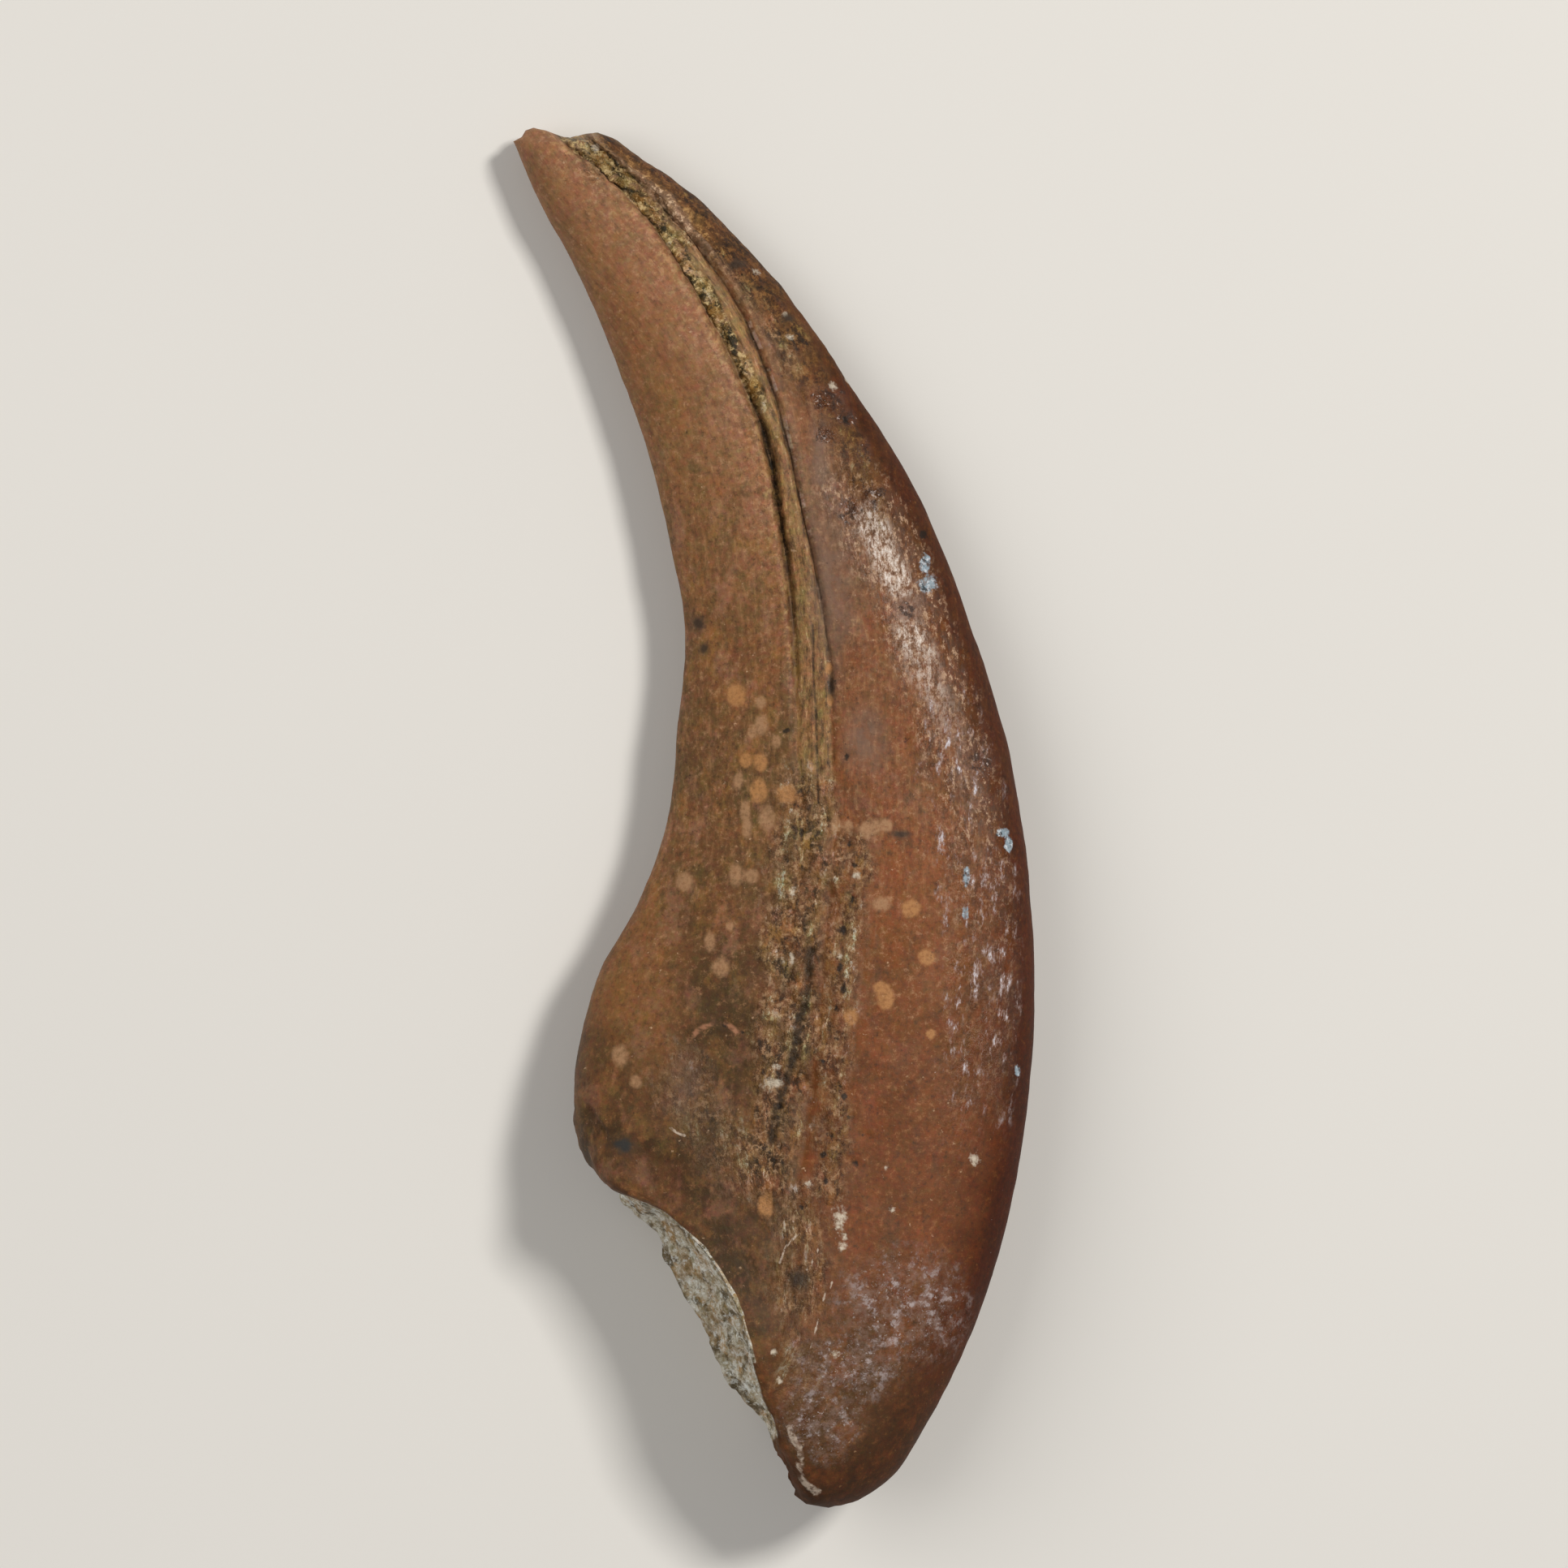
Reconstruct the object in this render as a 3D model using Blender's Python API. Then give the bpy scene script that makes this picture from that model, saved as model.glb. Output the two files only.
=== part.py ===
"""Fossil dromaeosaurus claw, lying on its flank.

The claw is one solid. It is lofted through ribs that run from its inner, ventral edge to its outer,
dorsal edge, from the joint facet at the lower end to the broken tip at the upper end. Both flanks
carry the long side groove, and the joint facet has two hollows with a ridge between them.
Metres, +Z up. +Y runs from the joint to the tip, and +X from the ventral to the dorsal side.
"""

import math
from collections import namedtuple

import bmesh
import bpy
import numpy as np
from mathutils import Vector, noise

MM = 0.001

# The ribs, in millimetres. Each runs from its ventral end to its dorsal end. The shares are parts of
# the rib's length, counted from the ventral end: where the flank is thickest, and where the groove's
# middle lies. Fullness is how round the ventral half is: 1.5 is a keel, 2.3 is a swollen knob.
Rib = namedtuple("Rib", "ventral_x ventral_y dorsal_x dorsal_y crest groove fullness")
RIBS = (
    Rib(-5.80, -12.31, 0.80, -23.05, 0.44, 0.56, 2.3),
    Rib(-6.15, -11.85, 1.55, -23.43, 0.46, 0.56, 2.3),
    Rib(-6.42, -11.35, 2.50, -23.34, 0.48, 0.56, 2.3),
    Rib(-6.62, -10.65, 3.75, -22.65, 0.50, 0.56, 2.2),
    Rib(-6.70, -9.50, 4.90, -21.11, 0.53, 0.55, 2.1),
    Rib(-6.55, -7.85, 6.66, -17.61, 0.56, 0.50, 2.0),
    Rib(-5.83, -5.32, 8.25, -12.11, 0.60, 0.465, 1.85),
    Rib(-4.62, -3.09, 8.86, -6.48, 0.62, 0.43, 1.7),
    Rib(-3.66, -0.43, 8.66, -1.80, 0.64, 0.415, 1.6),
    Rib(-3.25, 2.87, 7.84, 2.74, 0.65, 0.415, 1.55),
    Rib(-3.00, 5.76, 6.60, 6.81, 0.64, 0.44, 1.55),
    Rib(-3.38, 8.65, 4.73, 11.18, 0.60, 0.505, 1.55),
    Rib(-4.26, 12.44, 2.39, 14.97, 0.50, 0.62, 1.6),
    Rib(-5.58, 16.07, -0.25, 18.58, 0.45, 0.66, 1.65),
    Rib(-6.96, 19.07, -2.67, 21.02, 0.44, 0.655, 1.75),
    Rib(-8.09, 21.16, -4.30, 22.18, 0.44, 0.66, 1.85),
    Rib(-8.83, 22.90, -5.28, 22.92, 0.44, 0.60, 2.0),
)

# Half thickness of the claw, in millimetres, at two places along Y. The middle plane sinks by as much
# as the claw thins, so that the underside's crest lies along the ground.
BASE_Y = -15.0
BASE_HALF = 3.45
TIP_Y = 23.0
TIP_HALF = 1.20
# How much thicker the crest is than that, by distance along the claw from the joint facet. It touches
# the ground at the joint end, at the belly and at the tip, each worn a little flat.
CREST_ALONG = (0.0, 4.0, 9.0, 16.0, 23.0, 34.0, 41.0, 46.0)
CREST_EXTRA = (0.04, 0.13, 0.02, 0.11, 0.02, -0.03, 0.10, 0.10)
# The curves of a rib's section, from its crest to its two edges
DORSAL_POWER = 2.2
DORSAL_ROUND = 2.0
VENTRAL_POWER = 2.0

# The side groove's section: distance across it and depth below the flank, in millimetres
GROOVE_ACROSS = (-0.68, -0.42, -0.16, 0.06, 0.30, 0.52, 0.78)
GROOVE_DEPTH = (0.0, 0.46, 0.20, 0.14, 0.34, 0.22, 0.0)
# How strong the groove is, by distance along the claw from the joint facet
GROOVE_ALONG = (0.0, 4.0, 9.0, 14.0, 20.0, 46.0)
GROOVE_STRENGTH = (0.0, 0.15, 0.60, 0.75, 1.0, 1.0)
# The groove fades out where the claw's half thickness is less than this, in millimetres
GROOVE_FADE = 0.8

# The joint facet: how far its rims and its middle ridge are set back from the straight line between
# the facet's two ends, by share of that line, in millimetres
FACET_SHARE = (0.0, 0.05, 0.12, 0.16, 0.21, 0.30, 0.36, 0.50, 0.65, 0.79, 0.92, 1.0)
RIM_SET_BACK = (0.0, 0.35, 1.10, 1.40, 1.58, 1.78, 1.84, 1.68, 1.10, 0.70, 0.30, 0.0)
RIDGE_SET_BACK = (0.0, 0.05, 0.22, 0.45, 0.60, 0.42, 0.33, 0.22, 0.14, 0.30, 0.14, 0.0)
SET_BACK_REACH = 3.2
HOLLOW_DEPTH = 0.45
# How the facet rises from its ridge to its rims, and how close to the rims it bends to meet them
RIDGE_POWER = 0.9
RIM_BLEND_POWER = 8

# The broken tip: how far it stands out past its last rib, by share of that rib, in millimetres
TIP_SHARE = (0.0, 0.11, 0.19, 0.29, 0.38, 0.47, 0.55, 0.61, 0.71, 0.86, 0.97, 1.0)
TIP_STAND_OUT = (0.0, 0.20, 0.47, 0.60, 0.48, 0.26, 0.12, 0.14, 0.26, 0.34, 0.12, 0.0)
# Over this length before the tip's end the claw thins, down to this share of its thickness
TIP_ROUNDING = 0.55
TIP_THICKNESS = 0.72

# Shallow hollows in the flanks: x, y, radius and depth, in millimetres
HOLLOWS = (
    (-1.9, -9.2, 2.6, 0.30),
    (-4.1, -12.0, 1.5, 0.25),
    (0.6, -16.2, 1.6, 0.18),
    (4.6, 7.1, 0.9, 0.16),
    (2.7, 11.2, 0.9, 0.12),
)

# Uneven surface: height in millimetres and the size of its waves in millimetres
SWELL_HEIGHT = 0.06
SWELL_SIZE = 5.0
ROUGH_HEIGHT = 0.16
ROUGH_SIZE = 1.4
ROUGH_OCTAVES = 3
SMOOTH_SHARE = 0.2
NOISE_SEED = Vector((7.3, 2.1, 5.9))

# Where the surface is flaky and pitted: this close to the joint facet, in millimetres, and along lines
# through some points, with the reach on both sides of each
FACET_REACH = 1.0
ROUGH_LINES = (
    (((1.3, 0.5), (1.2, -4.5), (0.5, -9.5), (0.0, -14.5)), 1.5),
    (((-4.8, 22.6), (-2.6, 20.4), (0.6, 17.2), (2.6, 13.4)), 0.9),
)

# How finely the claw is divided: the stations' distance in millimetres, and steps across each part
STATION_STEP = 0.68
VENTRAL_STEPS = 9
DORSAL_STEPS = 13
FACET_STEPS = 12
TIP_STEPS = 4

BONE_COLOUR = (0.212, 0.107, 0.048, 1.0)
BONE_ROUGHNESS = 0.42


def rib_places():
    """Distance along the claw's middle from the joint facet to each rib, in millimetres."""
    middles = [
        Vector(((rib.ventral_x + rib.dorsal_x) / 2, (rib.ventral_y + rib.dorsal_y) / 2))
        for rib in RIBS
    ]
    places = [0.0]
    for before, after in zip(middles, middles[1:]):
        places.append(places[-1] + (after - before).length)
    return np.array(places)


def smooth_through(places, values, where):
    """Read a smooth curve through the values at some places, with a cubic between each pair."""
    slopes = np.gradient(values, places)
    index = np.clip(np.searchsorted(places, where, side="right") - 1, 0, len(places) - 2)
    gap = places[index + 1] - places[index]
    t = (where - places[index]) / gap
    start = (1 + 2 * t) * (1 - t) ** 2 * values[index] + t * (1 - t) ** 2 * gap * slopes[index]
    end = t**2 * (3 - 2 * t) * values[index + 1] - t**2 * (1 - t) * gap * slopes[index + 1]
    return start + end


def ribs_along(step):
    """The ribs at stations about a step apart, as one array for each of a rib's values."""
    places = rib_places()
    parts = [
        np.linspace(low, high, max(1, round((high - low) / step)), endpoint=False)
        for low, high in zip(places, places[1:])
    ]
    where = np.concatenate(parts + [places[-1:]])
    columns = {
        name: smooth_through(places, np.array([getattr(rib, name) for rib in RIBS]), where)
        for name in Rib._fields
    }
    return where, columns


def middle_height(y):
    """Height of the claw's middle plane above the ground, in millimetres."""
    return BASE_HALF + (TIP_HALF - BASE_HALF) * (y - BASE_Y) / (TIP_Y - BASE_Y)


def shares_across(groove, length):
    """Places across a rib, as shares of its length, close together in the groove and at the edges."""
    low = groove + GROOVE_ACROSS[0] / length
    high = groove + GROOVE_ACROSS[-1] / length
    ventral = [low * (1 - math.cos(math.pi / 2 * k / VENTRAL_STEPS)) for k in range(VENTRAL_STEPS)]
    middle = [groove + across / length for across in GROOVE_ACROSS]
    dorsal = [
        high + (1 - high) * math.sin(math.pi / 2 * k / DORSAL_STEPS)
        for k in range(1, DORSAL_STEPS + 1)
    ]
    return np.array(ventral + middle + dorsal)


def half_thickness(shares, crest, fullness):
    """Half thickness at some places across a rib, as a part of its largest half thickness."""
    ventral = np.clip((crest - shares) / crest, 0.0, 1.0)
    dorsal = np.clip((shares - crest) / (1 - crest), 0.0, 1.0)
    ventral_half = (1 - ventral**VENTRAL_POWER) ** (1 / fullness)
    dorsal_half = (1 - dorsal**DORSAL_POWER) ** (1 / DORSAL_ROUND)
    return np.where(shares < crest, ventral_half, dorsal_half)


def groove_depth(shares, groove, length, place):
    """Depth of the side groove below the flank, in millimetres."""
    across = (shares - groove) * length
    depth = np.interp(across, GROOVE_ACROSS, GROOVE_DEPTH, left=0.0, right=0.0)
    return depth * np.interp(place, GROOVE_ALONG, GROOVE_STRENGTH)


def facet_line():
    """The facet's ventral end, its dorsal end, and the direction into the claw."""
    start = np.array((RIBS[0].ventral_x, RIBS[0].ventral_y))
    end = np.array((RIBS[0].dorsal_x, RIBS[0].dorsal_y))
    along = (end - start) / np.linalg.norm(end - start)
    inward = np.array((-along[1], along[0]))
    return start, end, inward


def set_back(points, fullness):
    """Move points near the joint facet into the claw. Fullness is 0 at the ridge and 1 at the rims."""
    start, end, inward = facet_line()
    chord = end - start
    share = np.clip((points - start) @ chord / (chord @ chord), 0.0, 1.0)
    depth = (points - start) @ inward
    rim = np.interp(share, FACET_SHARE, RIM_SET_BACK)
    ridge = np.interp(share, FACET_SHARE, RIDGE_SET_BACK)
    amount = (ridge + (rim - ridge) * fullness) * np.exp(-np.maximum(depth, 0.0) / SET_BACK_REACH)
    return points + amount[:, None] * inward


def flank_rows():
    """Each station's points on the upper flank, as XY and half thickness, in millimetres."""
    where, rib = ribs_along(STATION_STEP)
    length = np.hypot(rib["dorsal_x"] - rib["ventral_x"], rib["dorsal_y"] - rib["ventral_y"])
    rows = []
    for k, place in enumerate(where):
        shares = shares_across(rib["groove"][k], length[k])
        ventral = np.array((rib["ventral_x"][k], rib["ventral_y"][k]))
        dorsal = np.array((rib["dorsal_x"][k], rib["dorsal_y"][k]))
        points = ventral + shares[:, None] * (dorsal - ventral)
        part = half_thickness(shares, rib["crest"][k], rib["fullness"][k])
        crest_y = ventral[1] + rib["crest"][k] * (dorsal[1] - ventral[1])
        largest = middle_height(crest_y) + np.interp(place, CREST_ALONG, CREST_EXTRA)
        near_end = min(1.0, (where[-1] - place) / TIP_ROUNDING)
        largest *= TIP_THICKNESS + (1 - TIP_THICKNESS) * math.sqrt(1 - (1 - near_end) ** 2)
        half = part * largest
        depth = groove_depth(shares, rib["groove"][k], length[k], place)
        half = np.maximum(half - depth * np.minimum(1.0, half / GROOVE_FADE), 0.0)
        points = set_back(points, np.minimum(1.0, part) ** 0.5)
        rows.append((points, half, shares))
    return rows


def end_columns(row, steps):
    """Places across an open end, from the upper flank to the lower one, for each inner point."""
    points, half, shares = row
    for k in range(1, len(shares) - 1):
        for step in range(1, steps):
            yield k, 1 - 2 * step / steps, points[k], half[k], shares[k]


def facet_point(point, half, share, across):
    """A point of the joint facet. Across is 1 at the upper rim, 0 at the ridge, -1 at the lower rim."""
    start, end, inward = facet_line()
    base = start + share * (end - start)
    rim = np.interp(share, FACET_SHARE, RIM_SET_BACK)
    ridge = np.interp(share, FACET_SHARE, RIDGE_SET_BACK)
    out = abs(across)
    hollow = HOLLOW_DEPTH * math.sin(math.pi * out) * math.sin(math.pi * share)
    place = base + (ridge + (rim - ridge) * out**RIDGE_POWER + hollow) * inward
    blend = out**RIM_BLEND_POWER
    return place * (1 - blend) + point * blend, across * half


def tip_point(point, half, share, across, outward):
    """A point of the broken tip's end."""
    stand_out = np.interp(share, TIP_SHARE, TIP_STAND_OUT) * (1 - across**2)
    return point + stand_out * outward, across * half


def build_claw_mesh():
    """Loft the flanks, close both ends, and return the mesh before its surface is made uneven."""
    rows = flank_rows()
    mesh = bmesh.new()
    last = len(rows[0][2]) - 1

    def corner(point, height):
        return mesh.verts.new((point[0], point[1], middle_height(point[1]) + height))

    rings = []
    for points, half, _ in rows:
        upper = [corner(points[k], half[k] if 0 < k < last else 0.0) for k in range(last + 1)]
        lower = [corner(points[k], -half[k]) for k in range(1, last)]
        rings.append((upper, [upper[0]] + lower + [upper[last]]))
    for (upper, lower), (next_upper, next_lower) in zip(rings, rings[1:]):
        for k in range(last):
            mesh.faces.new((upper[k], upper[k + 1], next_upper[k + 1], next_upper[k]))
            mesh.faces.new((lower[k + 1], lower[k], next_lower[k], next_lower[k + 1]))

    end = RIBS[-1]
    before = RIBS[-2]
    outward = np.array((end.ventral_x + end.dorsal_x - before.ventral_x - before.dorsal_x,
                        end.ventral_y + end.dorsal_y - before.ventral_y - before.dorsal_y))
    outward = outward / np.linalg.norm(outward)
    for ring, row, steps, outer in ((rings[0], rows[0], FACET_STEPS, False),
                                    (rings[-1], rows[-1], TIP_STEPS, True)):
        lines = {k: [ring[0][k]] for k in range(1, last)}
        for k, across, point, half, share in end_columns(row, steps):
            if outer:
                place, height = tip_point(point, half, share, across, outward)
            else:
                place, height = facet_point(point, half, share, across)
            lines[k].append(corner(place, height))
        for k in range(1, last):
            lines[k].append(ring[1][k])
        lines[0] = [ring[0][0]] * (steps + 1)
        lines[last] = [ring[0][last]] * (steps + 1)
        for k in range(last):
            for step in range(steps):
                quad = [lines[k][step], lines[k][step + 1], lines[k + 1][step + 1], lines[k + 1][step]]
                corners = list(dict.fromkeys(quad))
                if outer:
                    corners.reverse()
                mesh.faces.new(corners)
    bmesh.ops.recalc_face_normals(mesh, faces=mesh.faces)
    return mesh


def distance_to_line(place, line):
    """Distance in millimetres from a place to a line through some points, seen from above."""
    spot = Vector(place)
    nearest = math.inf
    for start, end in zip(line, line[1:]):
        side = Vector(end) - Vector(start)
        share = min(1.0, max(0.0, (spot - Vector(start)).dot(side) / side.length_squared))
        nearest = min(nearest, (Vector(start) + share * side - spot).length)
    return nearest


def roughness_at(x, y):
    """How rough the surface is at a place seen from above, from the smooth share to 1."""
    start, _, inward = facet_line()
    rough = SMOOTH_SHARE
    if (x - start[0]) * inward[0] + (y - start[1]) * inward[1] < FACET_REACH:
        rough = 1.0
    for line, reach in ROUGH_LINES:
        near = max(0.0, 1 - distance_to_line((x, y), line) / reach)
        rough = max(rough, min(1.0, 2 * near))
    return rough


def uneven(mesh):
    """Give the surface its shallow hollows, its swells and its rough zones."""
    mesh.normal_update()
    moves = []
    for vert in mesh.verts:
        swell = noise.noise(vert.co / SWELL_SIZE + NOISE_SEED) * SWELL_HEIGHT
        place = vert.co / ROUGH_SIZE + NOISE_SEED
        fine = noise.fractal(place, 1.0, 2.0, ROUGH_OCTAVES) * ROUGH_HEIGHT
        rough = roughness_at(vert.co.x, vert.co.y)
        sunk = 0.0
        for x, y, radius, deep in HOLLOWS:
            away = math.hypot(vert.co.x - x, vert.co.y - y) / radius
            if away < 1:
                sunk += deep * (1 - away**2) ** 2 * abs(vert.normal.z)
        moves.append(vert.normal * (swell + fine * rough - sunk))
    for vert, move in zip(mesh.verts, moves):
        vert.co += move


def lay_down(mesh):
    """Flatten the underside where it touches the ground, and centre the claw over the origin."""
    for vert in mesh.verts:
        vert.co.z = max(vert.co.z, 0.0)
    low = [min(vert.co[axis] for vert in mesh.verts) for axis in range(2)]
    high = [max(vert.co[axis] for vert in mesh.verts) for axis in range(2)]
    centre = Vector(((low[0] + high[0]) / 2, (low[1] + high[1]) / 2, 0.0))
    for vert in mesh.verts:
        vert.co = (vert.co - centre) * MM


def bone_material():
    """Warm brown, slightly glossy fossil bone."""
    material = bpy.data.materials.new("fossil_bone")
    material.use_nodes = True
    shader = material.node_tree.nodes["Principled BSDF"]
    shader.inputs["Base Color"].default_value = BONE_COLOUR
    shader.inputs["Roughness"].default_value = BONE_ROUGHNESS
    shader.inputs["Metallic"].default_value = 0.0
    return material


def main():
    """Build the claw."""
    for old in list(bpy.data.objects):
        bpy.data.objects.remove(old, do_unlink=True)
    collection = bpy.data.collections.new("fossil_claw")
    bpy.context.scene.collection.children.link(collection)

    loft = build_claw_mesh()
    uneven(loft)
    lay_down(loft)
    bmesh.ops.triangulate(loft, faces=loft.faces)
    mesh = bpy.data.meshes.new("claw")
    loft.to_mesh(mesh)
    loft.free()
    mesh.shade_smooth()
    mesh.materials.append(bone_material())
    claw = bpy.data.objects.new("claw", mesh)
    collection.objects.link(claw)


main()
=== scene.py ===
"""Looks of the fossil dromaeosaurus claw: its fine surface, its colours, the floor, light and camera.

The claw lies on its flank. Forms are worked out in millimetres, in the same way as in the part's own
source but much finer, and are turned into metres at the end. +Y runs from the joint to the tip, and
+X from the ventral to the dorsal side.
"""

import math
from collections import namedtuple
from functools import partial, reduce
from itertools import product
from types import SimpleNamespace

import bpy
import numpy as np
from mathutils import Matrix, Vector, noise


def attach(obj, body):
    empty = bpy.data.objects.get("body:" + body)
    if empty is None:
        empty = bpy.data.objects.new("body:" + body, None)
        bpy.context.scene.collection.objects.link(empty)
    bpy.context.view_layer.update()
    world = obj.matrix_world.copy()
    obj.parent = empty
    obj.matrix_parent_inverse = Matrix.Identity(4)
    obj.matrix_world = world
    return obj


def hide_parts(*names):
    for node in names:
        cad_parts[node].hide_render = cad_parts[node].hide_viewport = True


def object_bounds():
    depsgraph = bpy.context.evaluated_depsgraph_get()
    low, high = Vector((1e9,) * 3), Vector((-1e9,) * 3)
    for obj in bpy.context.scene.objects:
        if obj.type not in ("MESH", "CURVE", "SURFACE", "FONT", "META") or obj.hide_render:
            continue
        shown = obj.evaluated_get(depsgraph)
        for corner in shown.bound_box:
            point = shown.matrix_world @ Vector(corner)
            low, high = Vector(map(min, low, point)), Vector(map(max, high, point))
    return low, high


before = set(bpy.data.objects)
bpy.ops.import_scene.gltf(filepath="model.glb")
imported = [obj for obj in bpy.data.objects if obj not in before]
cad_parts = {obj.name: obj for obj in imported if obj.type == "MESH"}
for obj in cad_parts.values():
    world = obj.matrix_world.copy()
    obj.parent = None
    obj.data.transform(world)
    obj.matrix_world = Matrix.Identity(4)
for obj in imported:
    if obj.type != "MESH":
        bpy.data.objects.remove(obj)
CAD_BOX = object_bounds()

MM = 0.001

# The ribs and the forms of the claw, as in the part's source, in millimetres
Rib = namedtuple("Rib", "ventral_x ventral_y dorsal_x dorsal_y crest groove fullness")
RIBS = (
    Rib(-5.8, -12.31, 0.8, -23.05, 0.44, 0.56, 2.3),
    Rib(-6.15, -11.85, 1.55, -23.43, 0.46, 0.56, 2.3),
    Rib(-6.42, -11.35, 2.5, -23.34, 0.48, 0.56, 2.3),
    Rib(-6.62, -10.65, 3.75, -22.65, 0.5, 0.56, 2.2),
    Rib(-6.7, -9.5, 4.9, -21.11, 0.53, 0.55, 2.1),
    Rib(-6.55, -7.85, 6.66, -17.61, 0.56, 0.5, 2.0),
    Rib(-5.83, -5.32, 8.25, -12.11, 0.6, 0.465, 1.85),
    Rib(-4.62, -3.09, 8.86, -6.48, 0.62, 0.43, 1.7),
    Rib(-3.66, -0.43, 8.66, -1.8, 0.64, 0.415, 1.6),
    Rib(-3.25, 2.87, 7.84, 2.74, 0.65, 0.415, 1.55),
    Rib(-3.0, 5.76, 6.6, 6.81, 0.64, 0.44, 1.55),
    Rib(-3.38, 8.65, 4.73, 11.18, 0.6, 0.505, 1.55),
    Rib(-4.26, 12.44, 2.39, 14.97, 0.5, 0.62, 1.6),
    Rib(-5.58, 16.07, -0.25, 18.58, 0.45, 0.66, 1.65),
    Rib(-6.96, 19.07, -2.67, 21.02, 0.44, 0.655, 1.75),
    Rib(-8.09, 21.16, -4.3, 22.18, 0.44, 0.66, 1.85),
    Rib(-8.83, 22.9, -5.28, 22.92, 0.44, 0.6, 2.0),
)
BASE_Y = -15.0
BASE_HALF = 3.45
TIP_Y = 23.0
TIP_HALF = 1.2
CREST_ALONG = (0.0, 4.0, 9.0, 16.0, 23.0, 34.0, 41.0, 46.0)
CREST_EXTRA = (0.04, 0.13, 0.02, 0.11, 0.02, -0.03, 0.1, 0.1)
DORSAL_POWER = 2.2
DORSAL_ROUND = 2.0
VENTRAL_POWER = 2.0
LINE_ALONG = (0.0, 19.0, 24.0, 26.0, 28.0, 30.0, 32.0, 34.0, 36.0, 38.0, 39.1, 40.2, 42.9, 43.6, 46.0)
LEFT_LINE = (-0.5, -0.5, -0.52, -0.5, -0.44, -0.44, -0.46, -0.58, -0.54, -0.4, -0.28, -0.17, -0.17, -0.45,
             -0.5)
RIGHT_LINE = (0.62, 0.62, 0.62, 0.5, 0.4, 0.26, 0.19, 0.28, 0.46, 0.5, 0.52, 0.5, 0.5, 0.5, 0.5)
DEPTH_ALONG = (0.0, 4.0, 9.0, 14.0, 20.0, 24.0, 27.0, 33.0, 35.0, 46.0)
FLOOR_DEPTH = (0.0, 0.03, 0.09, 0.1, 0.08, 0.08, 0.1, 0.14, 0.24, 0.26)
LEFT_DEPTH = (0.0, 0.0, 0.0, 0.0, 0.03, 0.12, 0.38, 0.42, 0.16, 0.14)
RIGHT_DEPTH = (0.0, 0.0, 0.0, 0.0, 0.0, 0.1, 0.2, 0.2, 0.14, 0.1)
LEFT_WIDTH = 0.12
RIGHT_WIDTH = 0.07
FACET_SHARE = (0.0, 0.05, 0.12, 0.16, 0.21, 0.3, 0.36, 0.5, 0.65, 0.79, 0.92, 1.0)
RIM_SET_BACK = (0.0, 0.35, 1.1, 1.4, 1.58, 1.78, 1.84, 1.68, 1.1, 0.7, 0.3, 0.0)
RIDGE_SET_BACK = (0.0, 0.05, 0.22, 0.45, 0.6, 0.42, 0.33, 0.22, 0.14, 0.3, 0.14, 0.0)
SET_BACK_REACH = 3.2
HOLLOW_DEPTH = 0.45
TIP_SHARE = (0.0, 0.11, 0.19, 0.29, 0.38, 0.47, 0.55, 0.61, 0.71, 0.86, 0.97, 1.0)
TIP_STAND_OUT = (0.0, 0.2, 0.47, 0.6, 0.48, 0.26, 0.12, 0.14, 0.26, 0.34, 0.12, 0.0)
TIP_ROUNDING = 0.55
HOLLOWS = (
    (-1.9, -9.2, 2.6, 0.3), (-4.1, -12.0, 1.5, 0.25), (0.6, -16.2, 1.6, 0.18),
    (4.6, 7.1, 0.9, 0.16), (2.7, 11.2, 0.9, 0.12),
)
SWELL_HEIGHT = 0.06
SWELL_SIZE = 5.0
ROUGH_HEIGHT = 0.16
ROUGH_SIZE = 1.4
SMOOTH_SHARE = 0.2
NOISE_SEED = Vector((7.3, 2.1, 5.9))
ROUGH_LINES = (
    (((1.3, 0.5), (1.2, -4.5), (0.5, -9.5), (0.0, -14.5)), 1.5),
    (((-4.8, 22.6), (-2.6, 20.4), (0.6, 17.2), (2.6, 13.4)), 0.9),
)

# How finely the claw is divided
ROWS = 400
VENTRAL_STEPS = 38
GROOVE_STEPS = 24
DORSAL_STEPS = 50
GROOVE_REACH = 0.75
FACET_STEPS = 48
TIP_STEPS = 8

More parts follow.
